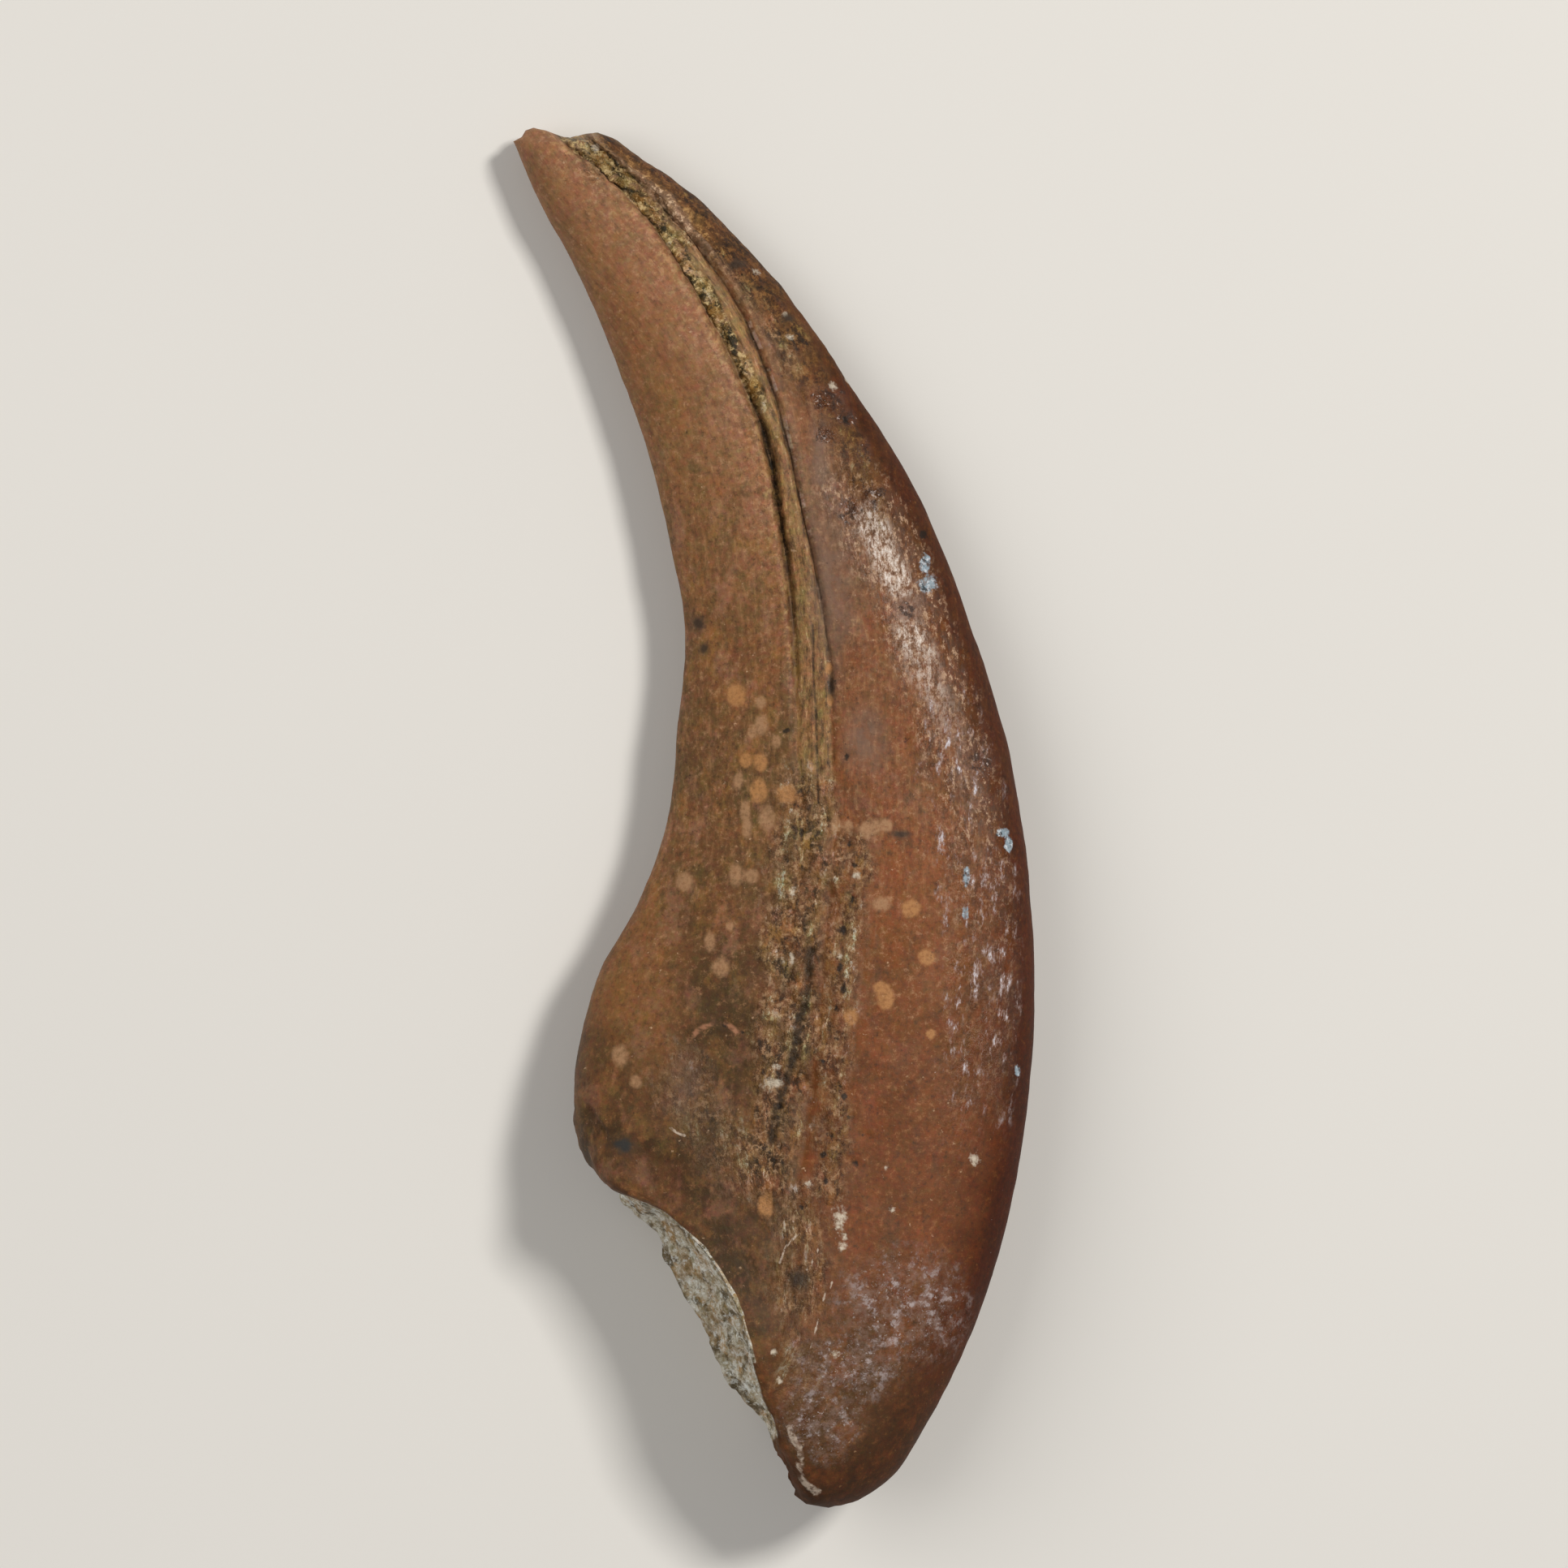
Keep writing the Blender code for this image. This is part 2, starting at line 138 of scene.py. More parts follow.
# Marks on the flank that shows, in millimetres: x, y, half width and half height
SPOTS = {
    "orange": (
        (-1.25, 4.04, 0.33, 0.4), (-0.91, 1.83, 0.22, 0.28), (-0.4, 1.76, 0.23, 0.32),
        (-0.48, 0.79, 0.32, 0.44), (0.49, 0.7, 0.36, 0.36), (3.79, -6.17, 0.3, 0.47),
        (3.63, -5.82, 0.28, 0.22), (2.61, -6.8, 0.26, 0.29), (-0.26, -13.12, 0.26, 0.47),
        (4.64, -3.17, 0.33, 0.33), (5.16, -4.8, 0.3, 0.3), (5.32, -7.38, 0.18, 0.19),
        (1.87, 4.94, 0.13, 0.2), (1.93, 3.87, 0.12, 0.22),
    ),
    "pale": (
        (-0.4, 3.78, 0.19, 0.22), (-0.4, 3.05, 0.25, 0.34), (-0.7, 2.76, 0.17, 0.25),
        (0.12, 2.46, 0.18, 0.23), (-1.17, 1.13, 0.19, 0.32), (-0.94, 0.1, 0.19, 0.39),
        (-0.89, -0.43, 0.18, 0.44), (-0.18, -0.12, 0.3, 0.45), (-1.26, -2.02, 0.23, 0.45),
        (-0.71, -2.08, 0.26, 0.26), (-3.0, -2.24, 0.33, 0.33), (-2.13, -4.28, 0.19, 0.37),
        (-1.76, -5.15, 0.33, 0.33), (-1.46, -3.78, 0.14, 0.19), (2.09, -0.32, 0.19, 0.3),
        (2.53, -0.4, 0.17, 0.25), (3.15, -0.5, 0.25, 0.3), (3.49, -0.41, 0.19, 0.28),
        (3.82, -0.37, 0.22, 0.25), (3.67, -3.0, 0.34, 0.28), (-5.13, -8.13, 0.28, 0.41),
        (-4.6, -9.0, 0.22, 0.25),
    ),
    "white": (
        (-0.58, 18.41, 0.17, 0.14), (0.41, 16.93, 0.12, 0.14), (0.58, 16.21, 0.19, 0.14),
        (0.66, -2.6, 0.12, 0.22), (0.36, -4.95, 0.11, 0.22), (0.63, -4.85, 0.11, 0.22),
        (2.81, -2.05, 0.14, 0.19), (2.2, -4.72, 0.14, 0.19), (-0.04, -9.03, 0.4, 0.3),
        (0.13, -8.47, 0.17, 0.17), (1.32, -10.49, 0.17, 0.19), (1.18, -12.42, 0.17, 0.17),
        (2.25, -13.54, 0.28, 0.5), (2.31, -14.3, 0.22, 0.36), (3.79, -11.9, 0.17, 0.11),
        (6.81, -11.64, 0.22, 0.28), (4.03, -13.26, 0.14, 0.17), (0.03, -18.03, 0.11, 0.14),
        (0.22, -18.99, 0.11, 0.14), (2.12, -18.13, 0.17, 0.17), (-6.0, 22.59, 0.17, 0.28),
        (2.04, 14.51, 0.17, 0.19), (2.58, 14.81, 0.14, 0.17),
    ),
    "pit": (
        (2.28, -5.14, 0.14, 0.25), (2.15, -6.59, 0.14, 0.17), (2.15, -7.51, 0.14, 0.17),
        (2.15, -9.13, 0.11, 0.14), (2.41, -9.44, 0.11, 0.22), (3.11, -10.79, 0.14, 0.11),
        (1.71, -11.41, 0.14, 0.14), (2.19, -11.19, 0.14, 0.11), (2.76, -11.72, 0.11, 0.14),
        (1.79, -12.28, 0.11, 0.14), (0.96, -13.16, 0.11, 0.14), (0.22, -9.78, 0.14, 0.11),
        (-0.48, -19.29, 0.15, 0.19), (2.75, -1.68, 0.14, 0.17), (2.71, -2.87, 0.11, 0.19),
        (2.49, 1.94, 0.11, 0.14), (4.51, 2.53, 0.14, 0.14), (0.47, 2.83, 0.22, 0.11),
        (2.34, -3.84, 0.17, 0.22), (2.37, -5.87, 0.17, 0.28), (2.01, -7.96, 0.1, 0.11),
        (1.68, -8.29, 0.1, 0.11), (2.56, -10.19, 0.11, 0.14), (1.95, -10.77, 0.14, 0.19),
        (2.83, -8.39, 0.11, 0.11), (5.09, 9.49, 0.17, 0.19), (-1.05, -7.32, 0.14, 0.11),
        (-1.6, -7.05, 0.17, 0.11), (2.54, 13.46, 0.14, 0.17), (0.44, -1.47, 0.12, 0.3),
        (0.98, -0.6, 0.1, 0.3), (2.56, -0.95, 0.12, 0.2),
    ),
    "stain": (
        (-2.56, 6.45, 0.28, 0.28), (-5.04, -11.13, 0.46, 0.4), (-2.34, 5.62, 0.22, 0.22),
        (4.29, -0.67, 0.41, 0.15), (0.88, -15.58, 0.44, 0.36), (-1.21, 18.66, 0.33, 0.25),
        (0.49, 16.84, 0.25, 0.17), (1.98, 4.3, 0.19, 0.44),
    ),
    "blue": (
        (5.14, 8.52, 0.22, 0.42), (5.25, 7.8, 0.4, 0.36), (7.96, -1.0, 0.17, 0.36),
        (7.8, -0.6, 0.3, 0.17), (6.54, -2.1, 0.14, 0.45), (6.5, -3.3, 0.14, 0.36),
        (8.24, -8.65, 0.11, 0.24),
    ),
}
SCABS = (
    (1.85, 14.05, 0.66, 0.44), (2.5, 13.5, 0.44, 0.33), (1.8, 12.86, 0.44, 0.39),
    (3.08, 12.23, 0.28, 0.6), (3.44, 10.66, 0.5, 0.55), (2.62, 10.25, 0.55, 0.45),
    (7.05, 1.75, 0.55, 0.6), (4.55, 6.98, 0.45, 0.42), (2.0, 4.42, 0.16, 0.24),
)
MOTTLES = (
    (4.4, -16.6, 1.9, 1.7), (2.5, -18.6, 1.5, 1.0), (1.6, -20.3, 1.2, 1.0),
    (1.9, -21.55, 0.5, 0.36),
)
# The worn strip with its painted highlight, and how strong it is at some Y, in millimetres
HIGHLIGHT_STRIP_LINE = ((3.2, 10.1), (3.63, 9.26), (3.94, 8.49), (4.17, 7.72), (4.47, 7.03), (4.68, 6.02),
              (4.98, 5.41), (5.2, 4.64), (5.5, 3.87), (5.9, 3.1), (6.5, 1.4), (6.9, -0.4),
              (7.2, -2.6))
HIGHLIGHT_STRIP_HEIGHTS = (-3.0, 0.0, 2.0, 4.2, 5.4, 6.2, 6.7, 7.3, 7.6, 10.5)
HIGHLIGHT_STRIP_STRENGTHS = (0.0, 0.1, 0.14, 0.45, 0.55, 0.9, 0.25, 0.25, 1.0, 1.0)
LILAC_SHADES = (
    (1.98, 7.9, 0.78, 2.7), (1.6, 12.0, 0.42, 1.9), (3.1, 2.5, 0.8, 1.2),
    (-3.0, -9.2, 0.6, 1.3), (4.6, 7.0, 0.6, 0.5),
)
# Thin lines on it: half width in millimetres and the places each goes through
PALE_VEINS = (
    (0.13, ((0.54, -20.55), (0.66, -20.95), (0.88, -21.25), (0.92, -21.6), (0.9, -21.95),
            (0.86, -22.25), (1.1, -22.55), (1.55, -22.82))),
    (0.05, ((2.04, -15.6), (1.82, -16.0), (1.58, -16.5), (1.48, -16.93), (1.42, -17.5),
            (1.2, -18.16))),
    (0.05, ((1.51, -14.55), (1.32, -15.03), (1.09, -15.3))),
    (0.05, ((0.85, -14.07), (0.42, -14.51), (0.23, -15.03))),
    (0.05, ((-3.49, -10.49), (-3.27, -10.68), (-2.94, -10.79))),
)
PINK_LINES = (
    ((-2.85, -7.62), (-2.67, -7.38), (-2.45, -7.19), (-2.12, -7.08)),
    ((-1.57, -7.03), (-1.35, -7.19), (-1.24, -7.3)),
)
CRACKS = (
    ((1.36, 6.45), (1.36, 5.29), (1.38, 4.63), (1.42, 3.97), (1.47, 3.09), (1.49, 1.99), (1.51, 1.04),
     (1.52, 0.4)),
    ((-0.49, 15.25), (0.33, 14.84)),
)
FURROW = ((1.24, -4.59), (1.18, -5.65), (1.1, -6.26), (0.85, -7.03), (0.74, -7.91), (0.52, -8.68),
          (0.19, -9.78), (0.08, -10.22), (-0.03, -10.93))

# The pale crumbs along the tip's crest
TIP_CREST = ((-5.17, 22.13), (-4.18, 21.41), (-3.6, 20.92), (-2.75, 20.06), (-2.1, 19.4))

# Flaky ground: the line it follows, its reach in millimetres and its strength
FLAKY_LINES = (
    (((1.1, 0.6), (0.9, -1.5), (0.7, -4.5), (0.5, -7.5), (0.0, -10.5), (-0.2, -12.0)), 1.25, 1.0),
    (((2.7, -1.2), (2.3, -5.0), (2.1, -8.5), (1.9, -12.5)), 0.75, 0.85),
    (((1.0, -13.0), (0.7, -16.0)), 1.1, 0.65),
    (((1.0, -16.0), (0.9, -19.0)), 0.9, 0.35),
    (((-3.0, -9.0), (-2.4, -10.0), (-1.5, -11.3), (-0.6, -12.0)), 1.3, 0.5),
    (((0.9, 15.6), (1.7, 14.2), (2.3, 13.0), (3.0, 11.3), (3.6, 10.0)), 0.75, 0.8),
    (((-5.6, 22.8), (-4.4, 21.9), (-3.0, 20.7), (-1.2, 19.2), (0.2, 17.6), (1.0, 16.4)), 1.25, 1.0),
)

# What the mesh keeps on its points for the material: three values under each name
KEPT = {
    "flow": ("along", "across", "flank"),
    "form": ("x", "y", "z"),
    "spots": ("orange", "pale", "white"),
    "stains": ("pit", "stain", "shine"),
    "extras": ("scab", "blue", "furrow"),
    "washes": ("scuff", "lilac", "crumbs"),
    "groove": ("left", "right", "crest"),
    "lines": ("vein", "pink", "crack"),
    "kinds": ("sediment", "flaky", "fleck"),
    "dress": ("mottle", "rim", "facet"),
}
# Noise along the flow is read this far to the two sides of nothing, so that the two flanks differ
FLANK_GAP = 7.0
# No spot is smaller than this half width, and marks are moved this far out on the flank that is hidden
SMALLEST_SPOT = 0.12
OUT_OF_REACH = 3.0

# The bone's specular level, the height of its finest relief in metres, and the painted shade that darkens its
# edges
BONE_SHINE = 0.4
BUMP_HEIGHT = 0.00003
PAINTED_RIM_SHADE = (0.58, 0.43, 0.18, 1.0)
PAINTED_DEEP_RIM_SHADE = (0.56, 0.42, 0.25, 1.0)

# The photograph's frame: its side and the middle of the view, in millimetres on the claw's plane
VIEW_SIDE = 53.13
VIEW_MIDDLE = (0.36, 1.06)
VIEW_PLANE = 2.4
CAMERA_DISTANCE = 400.0
SENSOR = 36.0
FLOOR_SIDE = 3.0


def lattice(ix, iy, iz, seed):
    """A repeatable number from -1 to 1 for each corner of a grid."""
    mixed = (ix * 374761393 + iy * 668265263 + iz * 1442695041 + seed * 974711) & 0xFFFFFFFF
    mixed = ((mixed ^ (mixed >> 13)) * 1274126177) & 0xFFFFFFFF
    return ((mixed ^ (mixed >> 16)) & 0xFFFF) / 32767.5 - 1.0


def waves(points, seed):
    """Smooth noise from -1 to 1 at each point, with waves about one unit across."""
    cell = np.floor(points).astype(np.int64)
    part = points - cell
    part = part * part * part * (part * (part * 6 - 15) + 10)
    total = np.zeros(len(points))
    for step in product((0, 1), repeat=3):
        weight = np.prod(np.abs(1 - np.array(step) - part), axis=1)
        total += weight * lattice(*(cell + step).T, seed)
    return total


def rough_waves(points, octaves, seed):
    """Noise from about -1 to 1 with finer and finer waves on each other."""
    total = np.zeros(len(points))
    for octave in range(octaves):
        total += 0.5**octave * waves(points * 2**octave + 13.7 * octave, seed + octave)
    return total / 1.5


def plates(points, seed):
    """Plates about one unit across: how far inside its own one a point is, and the plate's own height."""
    corner = np.floor(points).astype(np.int64)
    nearest = np.full(len(points), np.inf)
    second = np.full(len(points), np.inf)
    level = np.zeros(len(points))
    for step in product((-1, 0, 1), repeat=3):
        cell = (corner + step).T
        middle = [cell[i] + 0.5 + 0.45 * lattice(*cell, seed + i) for i in range(3)]
        away = np.linalg.norm(points - np.stack(middle, axis=1), axis=1)
        closer = away < nearest
        second = np.where(closer, nearest, np.minimum(second, away))
        level = np.where(closer, lattice(*cell, seed + 3), level)
        nearest = np.where(closer, away, nearest)
    return second - nearest, level


def rise(low, high, values):
    """Goes smoothly from 0 at low to 1 at high."""
    t = np.clip((values - low) / (high - low), 0.0, 1.0)
    return t * t * (3 - 2 * t)


def rib_places():
    """Distance along the claw's middle from the joint facet to each rib, in millimetres."""
    middles = np.array([(r.ventral_x + r.dorsal_x, r.ventral_y + r.dorsal_y) for r in RIBS]) / 2
    return np.concatenate(([0.0], np.cumsum(np.linalg.norm(np.diff(middles, axis=0), axis=1))))


def smooth_through(places, values, where):
    """Read a smooth curve through the values at some places, with a cubic between each pair."""
    slopes = np.gradient(values, places)
    index = np.clip(np.searchsorted(places, where, side="right") - 1, 0, len(places) - 2)
    gap = places[index + 1] - places[index]
    t = (where - places[index]) / gap
    start = (1 + 2 * t) * (1 - t) ** 2 * values[index] + t * (1 - t) ** 2 * gap * slopes[index]
    end = t**2 * (3 - 2 * t) * values[index + 1] - t**2 * (1 - t) * gap * slopes[index + 1]
    return start + end


def middle_height(y):
    """Height of the claw's middle plane above the ground, in millimetres."""
    return BASE_HALF + (TIP_HALF - BASE_HALF) * (y - BASE_Y) / (TIP_Y - BASE_Y)


def facet_line():
    """The facet's ventral end, its dorsal end, and the direction into the claw."""
    start = np.array((RIBS[0].ventral_x, RIBS[0].ventral_y))
    end = np.array((RIBS[0].dorsal_x, RIBS[0].dorsal_y))
    along = (end - start) / np.linalg.norm(end - start)
    return start, end, np.array((-along[1], along[0]))


def set_back(points, fullness):
    """Move points near the joint facet into the claw. Fullness is 0 at the ridge and 1 at the rims."""
    start, end, inward = facet_line()
    chord = end - start
    share = np.clip((points - start) @ chord / (chord @ chord), 0.0, 1.0)
    depth = (points - start) @ inward
    rim = np.interp(share, FACET_SHARE, RIM_SET_BACK)
    ridge = np.interp(share, FACET_SHARE, RIDGE_SET_BACK)
    amount = (ridge + (rim - ridge) * fullness) * np.exp(-np.maximum(depth, 0.0) / SET_BACK_REACH)
    return points + amount[:, None] * inward


def half_thickness(shares, crest, fullness):
    """Half thickness across a rib, as a part of its largest half thickness."""
    ventral = np.clip((crest - shares) / crest, 0.0, 1.0)
    dorsal = np.clip((shares - crest) / (1 - crest), 0.0, 1.0)
    ventral_half = (1 - ventral**VENTRAL_POWER) ** (1 / fullness)
    dorsal_half = (1 - dorsal**DORSAL_POWER) ** (1 / DORSAL_ROUND)
    return np.where(shares < crest, ventral_half, dorsal_half)


def groove_depth(along, left, right):
    """Depth of the groove, from how far along the claw and how far from its two lines a point is."""
    floor = rise(-0.3, 0.02, left) * rise(0.24, 0, right)
    depth = floor * np.interp(along, DEPTH_ALONG, FLOOR_DEPTH)
    depth = depth + np.interp(along, DEPTH_ALONG, LEFT_DEPTH) * np.exp(-(left / LEFT_WIDTH) ** 2)
    return depth + np.interp(along, DEPTH_ALONG, RIGHT_DEPTH) * np.exp(-(right / RIGHT_WIDTH) ** 2)


def shares_across(groove, length):
    """How far across its rib each point is, as a share: closest together in the groove and at the edges."""
    low, high = (groove + side * GROOVE_REACH / length for side in (-1, 1))
    t = np.arange(VENTRAL_STEPS) / VENTRAL_STEPS
    ventral = low * (0.45 * t**1.3 + 0.55 * (1 - np.cos(math.pi / 2 * t)))
    middle = low + (high - low) * np.linspace(0, 1, GROOVE_STEPS, endpoint=False)
    t = np.arange(DORSAL_STEPS + 1) / DORSAL_STEPS
    dorsal = high + (1 - high) * (0.3 * t + 0.7 * np.sin(math.pi / 2 * t))
    return np.concatenate((ventral, middle, dorsal), axis=1)


def flank_grid():
    """The upper flank as a grid: for each point its XY, half thickness and where it is on the claw."""
    places = rib_places()
    where = np.linspace(0.0, places[-1], ROWS + 1)
    rib = {
        name: smooth_through(places, np.array([getattr(r, name) for r in RIBS]), where)[:, None]
        for name in Rib._fields
    }
    length = np.hypot(rib["dorsal_x"] - rib["ventral_x"], rib["dorsal_y"] - rib["ventral_y"])
    share = shares_across(rib["groove"], length)
    x = rib["ventral_x"] + share * (rib["dorsal_x"] - rib["ventral_x"])
    y = rib["ventral_y"] + share * (rib["dorsal_y"] - rib["ventral_y"])
    part = half_thickness(share, rib["crest"], rib["fullness"])
    crest_y = rib["ventral_y"] + rib["crest"] * (rib["dorsal_y"] - rib["ventral_y"])
    along = where[:, None] + 0 * share
    largest = middle_height(crest_y) + np.interp(where, CREST_ALONG, CREST_EXTRA)[:, None]
    near_end = np.minimum(1.0, (where[-1] - where) / TIP_ROUNDING)[:, None]
    largest = largest * (0.72 + 0.28 * np.sqrt(1 - (1 - near_end) ** 2))
    half = part * largest
    across = (share - rib["groove"]) * length
    left = across - np.interp(along, LINE_ALONG, LEFT_LINE)
    right = across - np.interp(along, LINE_ALONG, RIGHT_LINE)
    depth = groove_depth(along, left, right)
    half = np.maximum(half - depth * np.minimum(1.0, half / 0.8), 0.0)
    flat = set_back(np.stack((x.ravel(), y.ravel()), axis=1), np.minimum(1.0, part.ravel()) ** 0.5)
    return {
        "points": flat.reshape(share.shape + (2,)),
        "half": half,
        "share": share,
        "along": along,
        "across": across,
        "left": left,
        "right": right,
        "edge": (1 - share) * length,
    }


def facet_grid(grid):
    """Points of the joint facet between the two rims: across runs from the upper to the lower rim."""
    start, end, inward = facet_line()
    share = grid["share"][0][1:-1, None]
    across = 1 - 2 * np.arange(1, FACET_STEPS)[None, :] / FACET_STEPS
    out = np.abs(across)
    rim = np.interp(share, FACET_SHARE, RIM_SET_BACK)
    ridge = np.interp(share, FACET_SHARE, RIDGE_SET_BACK)
    hollow = HOLLOW_DEPTH * np.sin(math.pi * out) * np.sin(math.pi * share)
    amount = ridge + (rim - ridge) * out**0.9 + hollow
    base = start + share[..., None] * (end - start)
    place = base + amount[..., None] * inward
    rim_points = grid["points"][0][1:-1, None, :]
    blend = (out**8)[..., None]
    place = place * (1 - blend) + rim_points * blend
    return place, across * grid["half"][0][1:-1, None]


def tip_grid(grid):
    """Points of the broken tip's end."""
    last, before = RIBS[-1], RIBS[-2]
    outward = np.array((last.ventral_x + last.dorsal_x - before.ventral_x - before.dorsal_x,
                        last.ventral_y + last.dorsal_y - before.ventral_y - before.dorsal_y))
    outward = outward / np.linalg.norm(outward)
    share = grid["share"][-1][1:-1, None]
    across = 1 - 2 * np.arange(1, TIP_STEPS)[None, :] / TIP_STEPS
    stand_out = np.interp(share, TIP_SHARE, TIP_STAND_OUT) * (1 - across**2)
    place = grid["points"][-1][1:-1, None, :] + stand_out[..., None] * outward
    return place, across * grid["half"][-1][1:-1, None]


def cap_quads(columns, first_row, second_row, inner, flip):
    """Faces of an end: columns from the upper rim, through the inner points, to the lower rim."""
    lines = np.concatenate((first_row[1:-1, None], inner, second_row[1:-1, None]), axis=1)
    quads = []
    for k, s in product(range(len(lines) - 1), range(columns)):
        quads.append((lines[k, s], lines[k, s + 1], lines[k + 1, s + 1], lines[k + 1, s]))
    for s in range(columns):
        quads.append((first_row[0], lines[0, s + 1], lines[0, s]))
        quads.append((first_row[-1], lines[-1, s], lines[-1, s + 1]))
    step = -1 if flip else 1
    return [[int(point) for point in quad[::step]] for quad in quads]


def flank_quads(upper, lower):
    """Faces of the two flanks."""
    above = np.stack((upper[:-1, :-1], upper[:-1, 1:], upper[1:, 1:], upper[1:, :-1]), axis=-1)
    below = np.stack((lower[:-1, 1:], lower[:-1, :-1], lower[1:, :-1], lower[1:, 1:]), axis=-1)
    return np.stack((above, below), axis=2).reshape(-1, 4).tolist()


def spread(values):
    """One of the grid's values for every point, with each end's points taking their rim's."""
    facet_values = np.repeat(values[0][1:-1], FACET_STEPS - 1)
    tip_values = np.repeat(values[-1][1:-1], TIP_STEPS - 1)
    return np.concatenate((values.ravel(), values[:, 1:-1].ravel(), facet_values, tip_values))


def claw_surface():
    """All points of the claw with what each one needs to know, and its faces."""
    grid = flank_grid()
    rows, columns = grid["share"].shape
    upper = np.arange(rows * columns).reshape(rows, columns)
    count = rows * columns
    lower = upper.copy()
    lower[:, 1:-1] = count + np.arange(rows * (columns - 2)).reshape(rows, columns - 2)
    count += rows * (columns - 2)
    facet_place, facet_half = facet_grid(grid)
    facet = count + np.arange(facet_half.size).reshape(facet_half.shape)
    count += facet_half.size
    tip_place, tip_half = tip_grid(grid)
    tip = count + np.arange(tip_half.size).reshape(tip_half.shape)

    inner = np.s_[:, 1:-1]
    flat = np.concatenate((grid["points"].reshape(-1, 2), grid["points"][inner].reshape(-1, 2),
                           facet_place.reshape(-1, 2), tip_place.reshape(-1, 2)))
    half = np.concatenate((grid["half"].ravel(), -grid["half"][inner].ravel(),
                           facet_half.ravel(), tip_half.ravel()))
    edge_columns = np.zeros((rows, columns), bool)
    edge_columns[:, 0] = edge_columns[:, -1] = True
    half[: rows * columns][edge_columns.ravel()] = 0.0
    points = np.column_stack((flat, middle_height(flat[:, 1]) + half))

    facts = {name: spread(grid[name]) for name in ("share", "along", "across", "left", "right", "edge")}
    facts["flank"] = np.where(half < 0, -FLANK_GAP, FLANK_GAP)
    facts["facet"] = np.zeros(len(points))
    facts["facet"][facet] = 1.0
    facts["facet"][[upper[0], lower[0]]] = 0.5
    facts["body"] = np.where(facts["facet"] < 0.4, 1.0, 0.0)
    facts["upper"] = facts["body"] * (half >= 0)

    quads = flank_quads(upper, lower)
    quads += cap_quads(FACET_STEPS, upper[0], lower[0], facet, False)
    quads += cap_quads(TIP_STEPS, upper[-1], lower[-1], tip, True)
    return points, facts, quads


def distance_to_line(points, line):
    """Distance from each point to a line through some places, seen from above."""
    nearest = np.full(len(points), np.inf)
    for start, end in zip(line, line[1:]):
        start = np.array(start)
        side = np.array(end) - start
        share = np.clip((points[:, :2] - start) @ side / (side @ side), 0.0, 1.0)
        away = np.linalg.norm(points[:, :2] - start - share[:, None] * side, axis=1)
        nearest = np.minimum(nearest, away)
    return nearest


def spot_field(points, spots):
    """1 in the middle of a spot, 0 at its edge, and below 0 outside."""
    field = np.full(len(points), -2.0)
    for x, y, half_width, half_height in spots:
        wide, high = max(half_width, SMALLEST_SPOT), max(half_height, SMALLEST_SPOT)
        field = np.maximum(field, 1 - np.hypot((points[:, 0] - x) / wide, (points[:, 1] - y) / high))
    return field


def line_field(points, lines):
    """Distance from each point to the nearest of some lines, in millimetres."""
    return np.min([distance_to_line(points, line) for line in lines], axis=0)


def vein_field(points):
    """Distance to the nearest pale vein, in half widths of it."""
    return np.min([distance_to_line(points, line) / width for width, line in PALE_VEINS], axis=0)


def mark_fields(points, upper):
    """Where each point is in or beside the marks, for those on the flank that shows."""
    hidden = (1 - upper) * OUT_OF_REACH
    fields = {name: spot_field(points, spots) - hidden for name, spots in SPOTS.items()}
    fields["furrow"] = distance_to_line(points, FURROW) + hidden
    fields["vein"] = vein_field(points) + 9 * hidden
    fields["pink"] = line_field(points, PINK_LINES) + hidden
    fields["crack"] = line_field(points, CRACKS) + hidden
    return fields


def roughness_at(points):
    """How rough the surface is in the large, from the smooth share to 1, as in the part's source."""
    start, _, inward = facet_line()
    rough = np.full(len(points), SMOOTH_SHARE)
    rough[(points[:, :2] - start) @ inward < 1.0] = 1.0
    for line, reach in ROUGH_LINES:
        near = np.clip(1 - distance_to_line(points, line) / reach, 0.0, 1.0)
        rough = np.maximum(rough, np.minimum(1.0, 2 * near))
    return rough


def large_relief(points, normals):
    """The swells, rough patches and hollows of the part's source."""
    swell = np.array([noise.noise(Vector(p) / SWELL_SIZE + NOISE_SEED) for p in points])
    fine = np.array([noise.fractal(Vector(p) / ROUGH_SIZE + NOISE_SEED, 1.0, 2.0, 3) for p in points])
    height = swell * SWELL_HEIGHT + fine * ROUGH_HEIGHT * roughness_at(points)
    for x, y, radius, deep in HOLLOWS:
        away = np.hypot(points[:, 0] - x, points[:, 1] - y) / radius
        height -= deep * np.clip(1 - away**2, 0.0, 1.0) ** 2 * np.abs(normals[:, 2])
    return height


def ground_zones(points, facts, wobble):
    """Sediment in the groove, flaky ground, and the crumbs beside the groove."""
    along, edge, left = facts["along"], facts["edge"], facts["left"]
    far_side = np.interp(along, (32.0, 34.0, 37.0, 40.5, 42.0, 46.0), (0.4, 0.48, 0.55, 0.55, 0.75, 0.75))
    sediment = rise(-0.06, 0.04, left + 0.12 * wobble) * rise(0.06, -0.08, left - far_side + 0.35 * wobble)
    sediment *= rise(32.2, 33.4, along + wobble) * rise(45.8, 44.6, along)
    flaky = np.zeros(len(points))
    for line, reach, strength in FLAKY_LINES:
        away = distance_to_line(points, line) / reach + 0.8 * wobble
        flaky = np.maximum(flaky, strength * rise(1.15, 0.45, away))
    flaky *= np.maximum(rise(0.05, 0.6, edge), 0.85 * rise(35, 37, along))
    crumbs = rise(0.2, 0.06, np.abs(left + 0.05 * wobble))
    crumbs *= rise(20, 24, along) * rise(33.5, 32.5, along)
    crumbs *= rise(-0.35, 0.15, rough_waves(along[:, None] * (0.9, 0.0, 0.0), 3, 27))
    return {"sediment": sediment, "flaky": flaky, "crumbs": crumbs}


